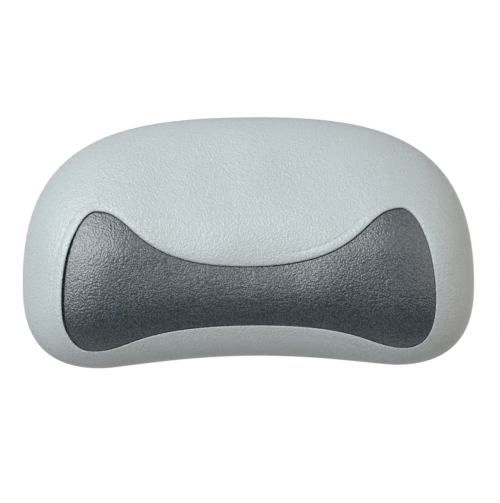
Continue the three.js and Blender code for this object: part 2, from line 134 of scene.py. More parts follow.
# Suction cups: powers of their curves, and their pull tabs
HOLLOW_POWER = 2.4
DOME_POWER = 1.2
TAB_POWER = 4
TUCK_POWER = 8
AXIS_SHARE = 0.03
TAB_SOFTNESS = 0.06
TAB_RIDGE = 0.0002
TAB_RIDGES = 6

# Materials
SKIN_SMOOTHNESS = 0.35
INLAY_IOR = 2.0
INLAY_SHEEN = (0.95, 0.98, 1.0, 1.0)
VINYL_IOR = 1.53
VINYL_CLEARNESS = 0.92
STEEL_ROUGHNESS = 0.3
ZINC_ROUGHNESS = 0.42

# Stage
FLOOR_GLOW = 0.6
BACKDROP_EDGE = 0.2
SOFT_FALL = (-0.5, 0.1)
WARM_SIDE = (1.0, 0.0, -0.2)
WHITE = (1.0, 1.0, 1.0)
SENSOR = 36.0
CLIP_END = 100.0

STAND_UP = Matrix.Rotation(math.pi / 2, 4, "X")

# Names of the meshes' own attributes
GRAIN = "grain"
TURN = "turn"
RADIUS = "radius"


# Settings


def length(name, default, description, lowest=0.0):
    return FloatProperty(
        name=name,
        description=description,
        default=default,
        min=lowest,
        unit="LENGTH",
        precision=4,
    )


def share(name, default, description):
    return FloatProperty(
        name=name, description=description, default=default, min=0.0, max=1.0, subtype="FACTOR"
    )


def angle(name, default, description):
    return FloatProperty(
        name=name, description=description, default=math.radians(default), subtype="ANGLE"
    )


def colour(name, default, description):
    return FloatVectorProperty(
        name=name,
        description=description,
        default=default,
        size=3,
        min=0.0,
        max=1.0,
        subtype="COLOR",
    )


class CushionSizes(bpy.types.PropertyGroup):
    """Sizes of the moulded foam body, with heights above its lowest point"""

    width: length("Width", 0.310, "Across the widest line")
    height: length("Height", 0.171, "From the feet to the top")
    widest_height: length("Widest height", 0.058, "Height of the widest line")
    foot_inset: length("Foot inset", 0.053, "From the widest point in to a foot's lowest point")
    underside_rise: length("Underside rise", 0.0074, "How far the underside's middle arches up")
    top_reach: length("Top reach", 0.09, "How far the flat of the top reaches out")
    shoulder_reach: length("Shoulder reach", 0.099, "How far the upright of the side reaches up")
    shoulder_share: share("Shoulder share", 0.62, "Part of the upper edge above the inlay's waist")
    flank_reach: length("Flank reach", 0.015, "How far the upright of the side reaches down")
    foot_reach: length("Foot reach", 0.054, "How far the flat of a foot reaches out")
    foot_inner_reach: length("Foot inner reach", 0.013, "How far the flat of a foot reaches in")
    underside_reach: length("Underside reach", 0.05, "How far the underside's flat reaches out")
    back_depth: length("Back depth", 0.014, "From the parting line to the flat back")
    back_rounding: length("Back rounding", 0.012, "How far in the back edge is rounded")
    neck_depth: length("Neck depth", 0.0513, "Forward reach of the neck roll with square edges")
    neck_height: length("Neck height", 0.074, "Height at which the face starts to fall back")
    top_depth: length("Top depth", 0.0322, "Forward reach of the top with square edges")
    edge_rounding: length("Edge rounding", 0.098, "How far in the front edge is rounded")
    dish_depth: length("Dish depth", 0.0062, "How far the hollow for the head sinks")
    dish_height: length("Dish height", 0.095, "Height of the middle of the hollow")
    dish_half_width: length("Dish half width", 0.107, "Spread of the hollow to each side")
    dish_half_height: length("Dish half height", 0.089, "Spread of the hollow up and down")
    brow_depth: length("Brow depth", 0.003, "Depth of the valley along the inlay's upper edge")
    brow_foam_width: length("Brow foam width", 0.0285, "Width of that valley above the inlay")
    brow_inlay_width: length("Brow inlay width", 0.043, "Width of that valley on the inlay")
    lip_depth: length("Lip depth", 0.0006, "How far the foam's edge is rounded down to the inlay")
    lip_width: length("Lip width", 0.0012, "Width of that rounding")
    roll_depth: length("Roll depth", 0.0015, "How far the foam gives way beside a horn")
    roll_width: length("Roll width", 0.0055, "Width of the foam that gives way there")
    bead_width: length("Bead width", 0.0065, "Width of the low bead beside the inlay")
    crease_width: length("Crease width", 0.0007, "Half the width of the crease outside that bead")
    crease_depth: length("Crease depth", 0.0002, "Depth of that crease")
    bead_height: length("Bead height", 0.0005, "How far that bead stands out of the face")
    dent_size: length("Dent size", 0.034, "Width of the shallow dents in the face")
    dent_depth: length("Dent depth", 0.0008, "Depth of those dents")
    parting_ridge: length("Parting ridge", 0.0002, "How far the mould's parting line stands out")
    pocket_edge: length("Pocket edge", 0.0012, "Rounding of the foam round the back plate")
    board_inset: length("Board inset", 0.016, "From the outline in to the core board")
    plate_inset: length("Plate inset", 0.024, "From the outline in to the back plate")
    fit_gap: length("Fit gap", 0.0003, "Room round a piece that is fitted into another")


class InlaySizes(bpy.types.PropertyGroup):
    """Sizes of the soft inlay, with heights above the cushion's lowest point"""

    side_margin: length("Side margin", 0.029, "From the cushion's widest point to the inlay")
    widest_height: length("Widest height", 0.045, "Height of the inlay's widest line")
    horn_inset: length("Horn inset", 0.0516, "From the cushion's widest point in to an upper end")
    horn_height: length("Horn height", 0.1068, "Height of the two upper ends")
    foot_inset: length("Foot inset", 0.049, "From the cushion's widest point in to a lower end")
    foot_height: length("Foot height", 0.0127, "Height of the two lower ends")
    waist_top: length("Waist top", 0.0684, "Height of the upper edge at the middle")
    waist_bottom: length("Waist bottom", 0.0293, "Height of the lower edge at the middle")
    waist_top_reach: length("Waist top reach", 0.0826, "How far the upper edge's flat reaches out")
    waist_bottom_reach: length("Waist bottom reach", 0.0793, "Reach of the lower edge's flat")
    horn_inner_reach: length("Horn inner reach", 0.028, "How far an upper end's flat reaches in")
    horn_outer_reach: length("Horn outer reach", 0.011, "How far an upper end's flat reaches out")
    shoulder_reach: length("Shoulder reach", 0.0348, "How far the upright of a side reaches up")
    flank_reach: length("Flank reach", 0.0138, "How far the upright of a side reaches down")
    foot_reach: length("Foot reach", 0.0172, "How far a lower end's flat reaches out")
    foot_inner_reach: length("Foot inner reach", 0.025, "How far a lower end's flat reaches in")
    thickness: length("Thickness", 0.008, "Thickness of the pad")
    sunk: length("Sunk", 0.0010, "How far its face lies below the foam's")
    edge_radius: length("Edge radius", 0.0007, "Rounding of its front edge")
    clearance: length("Clearance", 0.0004, "Gap between the pad and the foam round it")
    flank_gap: length("Flank gap", 0.0008, "How much wider the gap is along the left flank")
    foot_gap: length("Foot gap", 0.00035, "How much wider the gap is at the flanks and below")
    shift: length("Shift", 0.0003, "How far the pad sits to the right of the middle of its recess")
    grain_size: length("Grain size", 0.0012, "Width of a pebble of the moulded grain")
    grain_depth: length("Grain depth", 0.00015, "Depth of the creases between the pebbles")


class BackSizes(bpy.types.PropertyGroup):
    """Sizes of the back plate, its screws and the suction cups"""

    plate_edge: length("Plate edge", 0.0005, "Rounding of the plate's edges")
    bead_inset: length("Bead inset", 0.0065, "From the plate's edge in to its stiffening bead")
    bead_radius: length("Bead radius", 0.0011, "Radius of the stiffening bead")
    bead_height: length("Bead height", 0.00024, "How far the bead stands out of the plate")
    slot_radius: length("Slot radius", 0.0046, "Half the width of a keyhole's slot")
    entry_radius: length("Entry radius", 0.0076, "Radius of a keyhole's round entry")
    travel: length("Travel", 0.013, "From the middle of the entry up to the end of the slot")
    screw_hole_radius: length("Screw hole radius", 0.0028, "Radius of the plate's screw holes")
    screw_radius: length("Screw radius", 0.0025, "Radius of a screw's shank")
    screw_head_radius: length("Screw head radius", 0.00475, "Radius of a screw's head")
    screw_head_crown: length("Screw head crown", 0.0012, "Height of the head's domed part")
    cross_span: length("Cross span", 0.005, "Span of the cross recess")
    cross_width: length("Cross width", 0.0012, "Width of the cross recess")
    cross_depth: length("Cross depth", 0.0018, "Depth of the cross recess")
    washer_radius: length("Washer radius", 0.006, "Outer radius of a washer")
    cup_radius: length("Cup radius", 0.0225, "Radius of a cup's rim")
    cup_height: length("Cup height", 0.012, "From the wall to a cup's shoulder")
    cup_hollow: length("Cup hollow", 0.008, "Depth of a cup's hollow")
    cup_shoulder_radius: length("Cup shoulder radius", 0.009, "Radius at the top of the dome")
    cup_rim_width: length("Cup rim width", 0.002, "Width of the flat rim")
    cup_lip: length("Cup lip", 0.0008, "Thickness of the rim")
    cup_neck_radius: length("Cup neck radius", 0.004, "Radius of the neck in the slot")
    cup_neck_length: length("Cup neck length", 0.0036, "Length of the neck in the slot")
    cup_head_radius: length("Cup head radius", 0.007, "Radius of the button that holds the plate")
    cup_head_rounding: length("Cup head rounding", 0.0012, "Rounding of the button's edges")
    tab_width: length("Tab width", 0.010, "Width of the pull tab")
    tab_reach: length("Tab reach", 0.007, "How far the pull tab stands out of the rim")
    tab_lift: length("Tab lift", 0.0007, "Height of the pull tab above the wall")


class Finishes(bpy.types.PropertyGroup):
    """Colours and finishes of the materials"""

    foam: colour("Foam", (0.535, 0.610, 0.632), "Colour of the skinned foam")
    foam_roughness: share("Foam roughness", 0.40, "Roughness of the skinned foam")
    foam_grain: length("Foam grain", 0.0014, "Width of a cell of the foam skin's fine grain")
    inlay: colour("Inlay", (0.0135, 0.044, 0.065), "Colour of the inlay")
    inlay_roughness: share("Inlay roughness", 0.465, "Roughness of the inlay")
    inlay_crease: length("Inlay crease", 0.00019, "Depth of the creases between its pebbles")
    plate: colour("Plate", (0.105, 0.125, 0.135), "Colour of the moulded back plate")
    board: colour("Board", (0.55, 0.50, 0.40), "Colour of the core board")
    cup: colour("Cup", (0.90, 0.95, 0.96), "Colour of the clear cups")
    steel: colour("Steel", (0.62, 0.63, 0.64), "Colour of the screws and washers")
    zinc: colour("Zinc", (0.55, 0.54, 0.50), "Colour of the insert nuts")


class StageSettings(bpy.types.PropertyGroup):
    """The floor, lamps and camera"""

    drop: length("Drop", 0.70, "From the pillow's lowest point down to the floor")
    floor_size: length("Floor size", 4.4, "Length and width of the floor")
    floor_front: length("Floor front", 0.4, "From the wall plane to the floor's front edge")
    floor: colour("Floor", (0.66, 0.65, 0.64), "Colour of the floor")
    lamp_distance: length("Lamp distance", 2.2, "From the pillow to the softbox")
    lamp_size: length("Lamp size", 1.6, "Length and width of the softbox")
    lamp_turn: angle("Lamp turn", 33.0, "Turn of the softbox to the left of the face")
    lamp_rise: angle("Lamp rise", 18.5, "Height of the softbox over the face")
    lamp_share: share("Lamp share", 0.86, "Part of the face's light that comes from the softbox")
    fill_turn: angle("Fill turn", 44.0, "Turn of the fill light to the right of the face")
    fill_rise: angle("Fill rise", 15.0, "Height of the fill light over the face")
    fill_share: share("Fill share", 0.21, "Light of the fill, as a part of the face's")
    card_turn: angle("Card turn", 86.0, "Turn of the warm card to the right of the face")
    card_share: share("Card share", 0.10, "Light of the card, as a part of the face's")
    card: colour("Card", (1.0, 0.62, 0.34), "Colour of the warm card")
    cool_side: colour("Cool side", (0.08, 0.085, 0.095), "Soft light from the left")
    warm_side: colour("Warm side", (0.125, 0.093, 0.062), "Soft light from the right")
    low_light: share("Low light", 0.2, "Part of the soft light that still comes from below")
    camera_distance: length("Camera distance", 2.4, "From the camera to the parting line")
    view_height: length("View height", 0.3459, "Height of the picture at the parting line")
    aim_x: length("Aim across", 0.0012, "Picture's middle, to the right", lowest=-1.0)
    aim_z: length("Aim up", -0.0051, "Picture's middle, upwards", lowest=-1.0)
    view_turn: angle("View turn", 0.75, "Turn of the camera to the left of the face")
    roll: angle("Roll", 0.66, "Turn of the camera about its view")


class PillowSettings(bpy.types.PropertyGroup):
    """All settings of the bath pillow"""

    cushion: PointerProperty(name="Cushion", description="The foam body", type=CushionSizes)
    inlay: PointerProperty(name="Inlay", description="The soft inlay", type=InlaySizes)
    back: PointerProperty(name="Back", description="The plate, screws and cups", type=BackSizes)
    finishes: PointerProperty(name="Finishes", description="The materials", type=Finishes)
    stage: PointerProperty(name="Stage", description="Floor, lamps and camera", type=StageSettings)


# Outlines, as rings of x and z that run from the top middle round the right side


def steps(count, start=0.0, end=1.0):
    """Even shares from start to end, without the last one."""
    return np.linspace(start, end, count, endpoint=False)


def bezier(start, first, second, end, at):
    """Points at some shares of a curve with two handles."""
    t = at[:, None]
    a, b, c, d = (np.array(point) for point in (start, first, second, end))
    return (1 - t) ** 3 * a + 3 * (1 - t) ** 2 * t * b + 3 * (1 - t) * t**2 * c + t**3 * d


def mirrored(*curves):
    """A closed ring from the curves of its right half, which ends at the bottom middle."""
    right = np.vstack(curves)
    left = right[-2:0:-1] * (-1, 1)
    return np.vstack([right, left]) + (0.0, LOWEST)


def cushion_outline(sizes):
    side = sizes.width / 2
    foot = side - sizes.foot_inset
    part = sizes.shoulder_share
    upper = np.concatenate([steps(TOP_STEPS, 0.0, part), steps(SHOULDER_STEPS, part, 1.0)])
    return mirrored(
        bezier(
            (0.0, sizes.height),
            (sizes.top_reach, sizes.height),
            (side, sizes.widest_height + sizes.shoulder_reach),
            (side, sizes.widest_height),
            upper,
        ),
        bezier(
            (side, sizes.widest_height),
            (side, sizes.widest_height - sizes.flank_reach),
            (foot + sizes.foot_reach, 0.0),
            (foot, 0.0),
            steps(FLANK_STEPS),
        ),
        bezier(
            (foot, 0.0),
            (foot - sizes.foot_inner_reach, 0.0),
            (sizes.underside_reach, sizes.underside_rise),
            (0.0, sizes.underside_rise),
            np.linspace(0.0, 1.0, UNDERSIDE_STEPS),
        ),
    )


def inlay_outline(sizes, cushion):
    side = cushion.width / 2 - sizes.side_margin
    horn = cushion.width / 2 - sizes.horn_inset
    foot = cushion.width / 2 - sizes.foot_inset
    return mirrored(
        bezier(
            (0.0, sizes.waist_top),
            (sizes.waist_top_reach, sizes.waist_top),
            (horn - sizes.horn_inner_reach, sizes.horn_height),
            (horn, sizes.horn_height),
            steps(TOP_STEPS),
        ),
        bezier(
            (horn, sizes.horn_height),
            (horn + sizes.horn_outer_reach, sizes.horn_height),
            (side, sizes.widest_height + sizes.shoulder_reach),
            (side, sizes.widest_height),
            steps(SHOULDER_STEPS),
        ),
        bezier(
            (side, sizes.widest_height),
            (side, sizes.widest_height - sizes.flank_reach),
            (foot + sizes.foot_reach, sizes.foot_height),
            (foot, sizes.foot_height),
            steps(FLANK_STEPS),
        ),
        bezier(
            (foot, sizes.foot_height),
            (foot - sizes.foot_inner_reach, sizes.foot_height),
            (sizes.waist_bottom_reach, sizes.waist_bottom),
            (0.0, sizes.waist_bottom),
            np.linspace(0.0, 1.0, UNDERSIDE_STEPS),
        ),
    )


def inward(ring):
    """The direction into the ring, square to it, at each of its points."""
    along = np.roll(ring, -1, 0) - np.roll(ring, 1, 0)
    along /= np.linalg.norm(along, axis=1, keepdims=True)
    return np.column_stack([along[:, 1], -along[:, 0]])


def inset(ring, distance):
    """The ring moved in square to itself by a distance, or by one for each point."""
    return ring + inward(ring) * np.reshape(distance, (-1, 1))


def drawn_in(ring, level, amount):
    """An inlay ring drawn in towards the level line through its widest points."""
    return np.column_stack(
        [ring[:, 0] * (1 - PAD_DRAW * amount), ring[:, 1] + (level - ring[:, 1]) * amount]
    )


def at_depth(ring, y):
    """A ring of x and z, at one y or at one y for each point."""
    return np.column_stack([ring[:, 0], np.broadcast_to(y, len(ring)), ring[:, 1]])


def unit_circle(turns):
    """The points of a circle of radius 1 at some angles."""
    return np.column_stack([np.cos(turns), np.sin(turns)])


def smooth(value, low, high):
    """0 below low, 1 above high, and a soft rise between them."""
    t = np.clip((value - low) / (high - low), 0.0, 1.0)
    return t * t * (3 - 2 * t)


class Face:
    """The cushion's front: the y at which it lies at any x and z."""

    def __init__(self, sizes, inlay):
        self.sizes = sizes
        self.outline = cushion_outline(sizes)
        self.waist = inlay_outline(inlay, sizes)[: TOP_STEPS + 1]
        self.parting_y = BACK_Y - sizes.back_depth
        self.tree = KDTree(len(self.outline))
        for number, (x, z) in enumerate(self.outline):
            self.tree.insert((x, 0.0, z), number)
        self.tree.balance()

    def from_outline(self, ring):
        """The shortest way to the outline."""
        nearest = np.array([self.tree.find((x, 0.0, z))[1] for x, z in ring])
        ways = []
        for side in (-1, 1):
            start = self.outline[nearest]
            run = self.outline[(nearest + side) % len(self.outline)] - start
            part = np.clip(np.sum((ring - start) * run, 1) / np.sum(run * run, 1), 0.0, 1.0)
            ways.append(np.linalg.norm(ring - start - run * part[:, None], axis=1))
        return np.minimum(*ways)

    def from_edge(self, ring):
        """The way to the outline, without a crease where two edges are equally near."""
        near = self.from_outline(ring)
        ahead = np.roll(self.outline, -1, 0)
        middles = (self.outline + ahead) / 2
        lengths = np.linalg.norm(ahead - self.outline, axis=1)
        apart = ring[:, None, :] - middles[None, :, :]
        pull = np.sum(lengths / np.maximum(np.sum(apart**2, 2), 1e-9) ** 2, 1)
        far = (pull / (math.pi / 2)) ** (-1 / 3)
        return near + (far - near) * smooth(near, *SMOOTHING)

    def crown(self, ring):
        """How far forward of the parting line the face lies away from its rounded edge."""
        sizes = self.sizes
        x, z = ring[:, 0], ring[:, 1] - LOWEST
        back = smooth(z, sizes.neck_height, sizes.height)
        to_the_side = (x / sizes.dish_half_width) ** DISH_POWER
        up = ((z - sizes.dish_height) / sizes.dish_half_height) ** 2
        dish = np.exp(-to_the_side - up)
        forward = sizes.neck_depth + (sizes.top_depth - sizes.neck_depth) * back
        return forward - sizes.dish_depth * dish - sizes.brow_depth * self.brow(ring)

    def brow(self, ring):
        """The valley along the inlay's upper edge: 1 at its middle, 0 at the horns."""
        sizes = self.sizes
        above = ring[:, 1] - np.interp(np.abs(ring[:, 0]), *self.waist.T)
        width = np.where(above > 0, sizes.brow_foam_width, sizes.brow_inlay_width)
        across = np.maximum(1 - np.abs(above) / width, 0.0) ** 2
        along = np.maximum(1 - (ring[:, 0] / self.waist[-1, 0]) ** 2, 0.0) ** BROW_POWER
        return across * along

    def dents(self, ring):
        """How far the soft face gives way, here and there and in the hollows pressed into it."""
        places = ring / self.sizes.dent_size
        uneven = [noise.noise((x, 0.0, z), noise_basis="PERLIN_ORIGINAL") for x, z in places]
        deep = self.sizes.dent_depth * np.array(uneven)
        for x, height, across, up, depth in HOLLOWS:
            apart = (ring - (x, LOWEST + height)) / (across, up)
            deep += depth * np.exp(-np.sum(apart**DISH_POWER, 1))
        return deep

    def y(self, ring):
        in_from_edge = 1 - np.minimum(self.from_edge(ring) / self.sizes.edge_rounding, 1.0)
        swell = (1 - in_from_edge**EDGE_POWER) ** (1 / EDGE_POWER)
        return self.parting_y - (self.crown(ring) - self.dents(ring)) * swell


# Meshes


def strip(ring):
    """Triangles that close a long, thin ring, from its left end to its right end."""
    count, x = len(ring), ring[:, 0]
    left, right = int(x.argmin()), int(x.argmax())
    upper = [(left + step) % count for step in range((right - left) % count + 1)]
    lower = [(left - step) % count for step in range((left - right) % count + 1)]
    onward = [(x[point], 0) for point in upper[1:]] + [(x[point], 1) for point in lower[1:-1]]
    at = [0, 0]
    triangles = []
    for _, side in sorted(onward):
        chain = (upper, lower)[side]
        triangles.append([upper[at[0]], lower[at[1]], chain[at[side] + 1]])
        at[side] += 1
    return [corners for corners in triangles if len(set(corners)) == 3]


def loft(name, rings, closed=False, thin=False):
    """A closed mesh through rings, joined end to start or capped. Thin caps are strips."""
    count = len(rings[0])
    points = np.vstack(rings)
    start = np.arange(len(rings) * count).reshape(len(rings), count)
    if closed:
        start = np.vstack([start, start[:1]])
    ahead = np.roll(start, -1, 1)
    quads = np.stack([start[:-1], ahead[:-1], ahead[1:], start[1:]], -1).reshape(-1, 4)
    faces = quads.tolist()
    if thin:
        faces += [start[end][corners].tolist() for end in (0, -1) for corners in strip(rings[end])]
    elif not closed:
        faces += [start[0, ::-1].tolist(), start[-1].tolist()]
    mesh = bpy.data.meshes.new(name)
    mesh.from_pydata(points.tolist(), [], faces)
    outwards(mesh)
    return mesh


def outwards(mesh):
    """Points all faces out and shades them smoothly, with an edge where two meet sharply."""
    shape = bmesh.new()
    shape.from_mesh(mesh)
    bmesh.ops.triangulate(shape, faces=[face for face in shape.faces if len(face.verts) > 4])
    bmesh.ops.recalc_face_normals(shape, faces=shape.faces)
    shape.to_mesh(mesh)
    shape.free()
    mesh.shade_smooth()
    mesh.set_sharp_from_angle(angle=SHARP_ANGLE)


def turned(name, profile, sides, closed=False):
    """A mesh turned about the Y axis from pairs of radius and y."""
    around = unit_circle(steps(sides, 0.0, 2 * math.pi))
    return loft(name, [at_depth(around * radius, y) for radius, y in profile], closed)


def arc(centre, radius, start, end, count):
    """Points of radius and y on a rounded corner, between two angles in degrees."""
    at = np.radians(np.linspace(start, end, count))
    return [(centre[0] + radius * math.cos(a), centre[1] + radius * math.sin(a)) for a in at]


def shown(name, mesh):
    piece = bpy.data.objects.new(name, mesh)
    bpy.context.scene.collection.objects.link(piece)
    return piece


def evaluated(holder):
    """A plain mesh of what an object's curve or modifiers make."""
    depsgraph = bpy.context.evaluated_depsgraph_get()
    return bpy.data.meshes.new_from_object(holder.evaluated_get(depsgraph))


def made_plain(piece):
    """Keeps what a piece's modifiers make of it as its own mesh."""
    result = evaluated(piece)
    piece.modifiers.clear()
    piece.data = result
    return piece


def mark(mesh, name, values):
    """Keeps a number for each point of a mesh under a name."""
    mesh.attributes.new(name, "FLOAT", "POINT").data.foreach_set("value", values)


def fit(piece, body, slot, *nodes):
    """Sets a finished piece on its body, in place of the solids that it stands for."""
    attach(piece, body)
    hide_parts(*nodes)


# Node trees


class Tree:
    """Adds nodes to a tree. Each input is a value to set or a socket to link."""

    def __init__(self, tree):
        self.tree = tree

    def add(self, kind, inputs=None, **settings):
        node = self.tree.nodes.new(kind)
        for name, value in settings.items():
            setattr(node, name, value)
        for key, value in (inputs or {}).items():
            if isinstance(value, bpy.types.NodeSocket):
                self.tree.links.new(value, node.inputs[key])
            else:
                node.inputs[key].default_value = value
        return node

    def calc(self, operation, *values):
        return self.add("ShaderNodeMath", dict(enumerate(values)), operation=operation).outputs[0]

    def vector(self, operation, inputs):
        return self.add("ShaderNodeVectorMath", inputs, operation=operation).outputs[0]

    def spread(self, factor, low, high, start=0.0, end=1.0):
        """A number from low to high, while the factor goes from start to end."""
        settings = {0: factor, 1: start, 2: end, 3: low, 4: high}
        return self.add("ShaderNodeMapRange", settings).outputs[0]

    def ramp(self, factor, low, high):
        """A colour between low and high."""
        node = self.add("ShaderNodeValToRGB", {"Fac": factor})
        for element, tone in zip(node.color_ramp.elements, (low, high)):
            element.color = (*tone, 1.0)
        return node.outputs["Color"]


class Shader(Tree):
    """The node tree of a new material."""

    def __init__(self, name):
        self.material = bpy.data.materials.new(name)
        self.material.use_nodes = True
        super().__init__(self.material.node_tree)
        self.tree.nodes.clear()
        self.place = self.add("ShaderNodeTexCoord").outputs["Object"]

    def noise(self, size, detail=3.0, roughness=0.5):
        settings = {
            "Vector": self.place,
            "Scale": 1 / size,
            "Detail": detail,
            "Roughness": roughness,
        }
        return self.add("ShaderNodeTexNoise", settings).outputs["Fac"]

    def cells(self, size, vector):
        settings = {"Vector": vector, "Scale": 1 / size, "Smoothness": SKIN_SMOOTHNESS}
        return self.add("ShaderNodeTexVoronoi", settings, feature="SMOOTH_F1").outputs["Distance"]

    def warped(self, size, amount):
        """The place, pushed about by a noise so that a pattern loses its regularity."""
        settings = {"Vector": self.place, "Scale": 1 / size, "Detail": 2.0}
        push = self.add("ShaderNodeTexNoise", settings).outputs["Color"]
        return self.vector("MULTIPLY_ADD", {0: push, 1: (amount,) * 3, 2: self.place})

    def bump(self, height, depth, strength, normal=None):
        settings = {"Height": height, "Distance": depth, "Strength": strength}
        if normal:
            settings["Normal"] = normal
        return self.add("ShaderNodeBump", settings).outputs["Normal"]

    def surface(self, inputs):
        shader = self.add("ShaderNodeBsdfPrincipled", inputs)
        self.add("ShaderNodeOutputMaterial", {"Surface": shader.outputs[0]})
        return self.material


def tones(base, *shares):
    """Tones of a colour, each as bright as a share of it."""
    return [tuple(min(part * bright, 1.0) for part in base) for bright in shares]


def foam_skin(finish):
    """Skinned foam: a fine leather grain, softly mottled, with painted shade that makes it a little
    darker in the grain's creases.
    """
    skin = Shader("foam_skin")
    cells = skin.cells(finish.foam_grain, skin.warped(size=0.004, amount=0.0016))
    mottle = skin.noise(0.035, detail=4.0, roughness=0.6)
    grain = skin.noise(0.0015, roughness=0.55)
    dull = finish.foam_roughness
    dark, light = tones(finish.foam, 0.95, 1.03)
    # The colour mixes the random mottle with painted shade that darkens the grain's creases.
    tone = skin.calc("ADD", mottle, skin.calc("MULTIPLY_ADD", cells, -0.35, 0.15))
    normal = skin.bump(skin.noise(0.012), depth=0.0006, strength=0.25)
    normal = skin.bump(cells, depth=0.00033, strength=0.9, normal=normal)
    normal = skin.bump(grain, depth=0.00036, strength=0.9, normal=normal)
    return skin.surface(
        {
            "Base Color": skin.ramp(tone, dark, light),
            "Roughness": skin.spread(mottle, dull - 0.05, dull + 0.06),
            "Specular IOR Level": 0.8,
            "Normal": normal,
        }
    )


def inlay_skin(finish, pebble):
    """Soft moulded rubber: pebbles like those of its mesh, dull in the creases, with painted shade
    in the creases and painted light on the pebble tops.
    """
    skin = Shader("inlay_skin")
    cells = skin.cells(pebble, skin.warped(pebble / WARP_SCALE, pebble * WARP_AMOUNT))
    creases = skin.spread(cells, 0.0, 1.0, *CREASE_CELLS)
    fine = skin.noise(0.0007, detail=4.0, roughness=0.6)
    dull = finish.inlay_roughness
    # Painted light and shade: the pebble tops are painted lighter than the inlay's colour and the
    # creases darker.
    top, shaded_pit = tones(finish.inlay, 1.7, 0.3)
    normal = skin.bump(cells, depth=-finish.inlay_crease, strength=1.0)
    normal = skin.bump(fine, depth=0.00010, strength=0.5, normal=normal)
    return skin.surface(
        {
            "Base Color": skin.ramp(creases, top, shaded_pit),
            "Roughness": skin.spread(fine, dull - 0.07, dull + 0.07),
            "IOR": INLAY_IOR,
            "Specular Tint": INLAY_SHEEN,
            "Specular IOR Level": skin.spread(creases, 1.0, 0.7),
            "Normal": normal,
        }
    )


def plate_plastic(finish):
    """Moulded plastic with an eroded texture, slightly scuffed."""
    plastic = Shader("plate_plastic")
    spark = plastic.noise(0.0006, roughness=0.7)
    flow = plastic.noise(0.05)
    dark, light = tones(finish.plate, 0.9, 1.12)
    return plastic.surface(
        {
            "Base Color": plastic.ramp(flow, dark, light),
            "Roughness": plastic.spread(spark, 0.42, 0.62),
            "Normal": plastic.bump(spark, depth=0.00012, strength=0.35),
        }
    )


def board_fibre(finish):
    """Pressed fibre board, flecked with paler strands."""
    board = Shader("board_fibre")
    strands = board.noise(0.0018, detail=6.0, roughness=0.75)
    dark, light = tones(finish.board, 0.72, 1.2)
    return board.surface(
        {
            "Base Color": board.ramp(strands, dark, light),
            "Roughness": board.spread(strands, 0.7, 0.9),
            "Normal": board.bump(strands, depth=0.0003, strength=0.4),
        }
    )


def clear_vinyl(finish):
    """Clear soft vinyl, with a faint cloudiness and moulding waves."""
    vinyl = Shader("clear_vinyl")
    cloud = vinyl.noise(0.006)
    dark, light = tones(finish.cup, 0.95, 1.0)
    return vinyl.surface(
        {
            "Base Color": vinyl.ramp(cloud, dark, light),
            "Roughness": vinyl.spread(cloud, 0.08, 0.2),
            "IOR": VINYL_IOR,
            "Transmission Weight": VINYL_CLEARNESS,
            "Normal": vinyl.bump(cloud, depth=0.0004, strength=0.15),
        }
    )


def metal(name, base, roughness):
    """Turned metal: fine rings round the piece's own axis and a few dull patches."""
    plain = Shader(name)
    radius = plain.add("ShaderNodeAttribute", attribute_name=RADIUS).outputs["Fac"]
    rings = plain.calc("SINE", plain.calc("MULTIPLY", radius, 2 * math.pi / TOOL_MARK))
    dull = plain.noise(0.003, detail=4.0, roughness=0.65)
    dark, light = tones(base, 0.82, 1.1)
    return plain.surface(
        {
            "Base Color": plain.ramp(dull, dark, light),
            "Metallic": 1.0,
            "Roughness": plain.spread(dull, roughness - 0.08, roughness + 0.12),
            "Normal": plain.bump(rings, depth=0.00002, strength=0.4),
        }
    )


class Rule(Tree):
    """A geometry node tree with named inputs, which starts from the piece that it is put on."""

    def __init__(self, name, inputs):
        super().__init__(bpy.data.node_groups.new(name, "GeometryNodeTree"))
        shape = {"Geometry": "NodeSocketGeometry"}
        given = {**shape, **inputs, "Finish": "NodeSocketMaterial"}
        for way, sockets in (("INPUT", given), ("OUTPUT", shape)):
            for label, kind in sockets.items():
                self.tree.interface.new_socket(label, in_out=way, socket_type=kind)
        self.given = self.add("NodeGroupInput").outputs

    def own(self, name):
        """The number that the piece keeps for each point under a name."""
        named = self.add("GeometryNodeInputNamedAttribute", {"Name": name}, data_type="FLOAT")
        return named.outputs["Attribute"]

    def end(self, geometry):
        """Closes the tree with real geometry in the given finish."""
        real = self.add("GeometryNodeRealizeInstances", {"Geometry": geometry}).outputs[0]
        set_finish = {"Geometry": real, "Material": self.given["Finish"]}
        finished = self.add("GeometryNodeSetMaterial", set_finish).outputs[0]
        self.add("NodeGroupOutput", {"Geometry": finished})
        return self.tree


def apply_rule(piece, tree, **inputs):
    """Runs a tree on a piece with its inputs set, and keeps the result as a plain mesh."""
    modifier = piece.modifiers.new(tree.name, "NODES")
    modifier.node_group = tree
    for socket in tree.interface.items_tree:
        if socket.in_out == "INPUT" and socket.name in inputs:
            modifier[socket.identifier] = inputs[socket.name]
    return made_plain(piece)


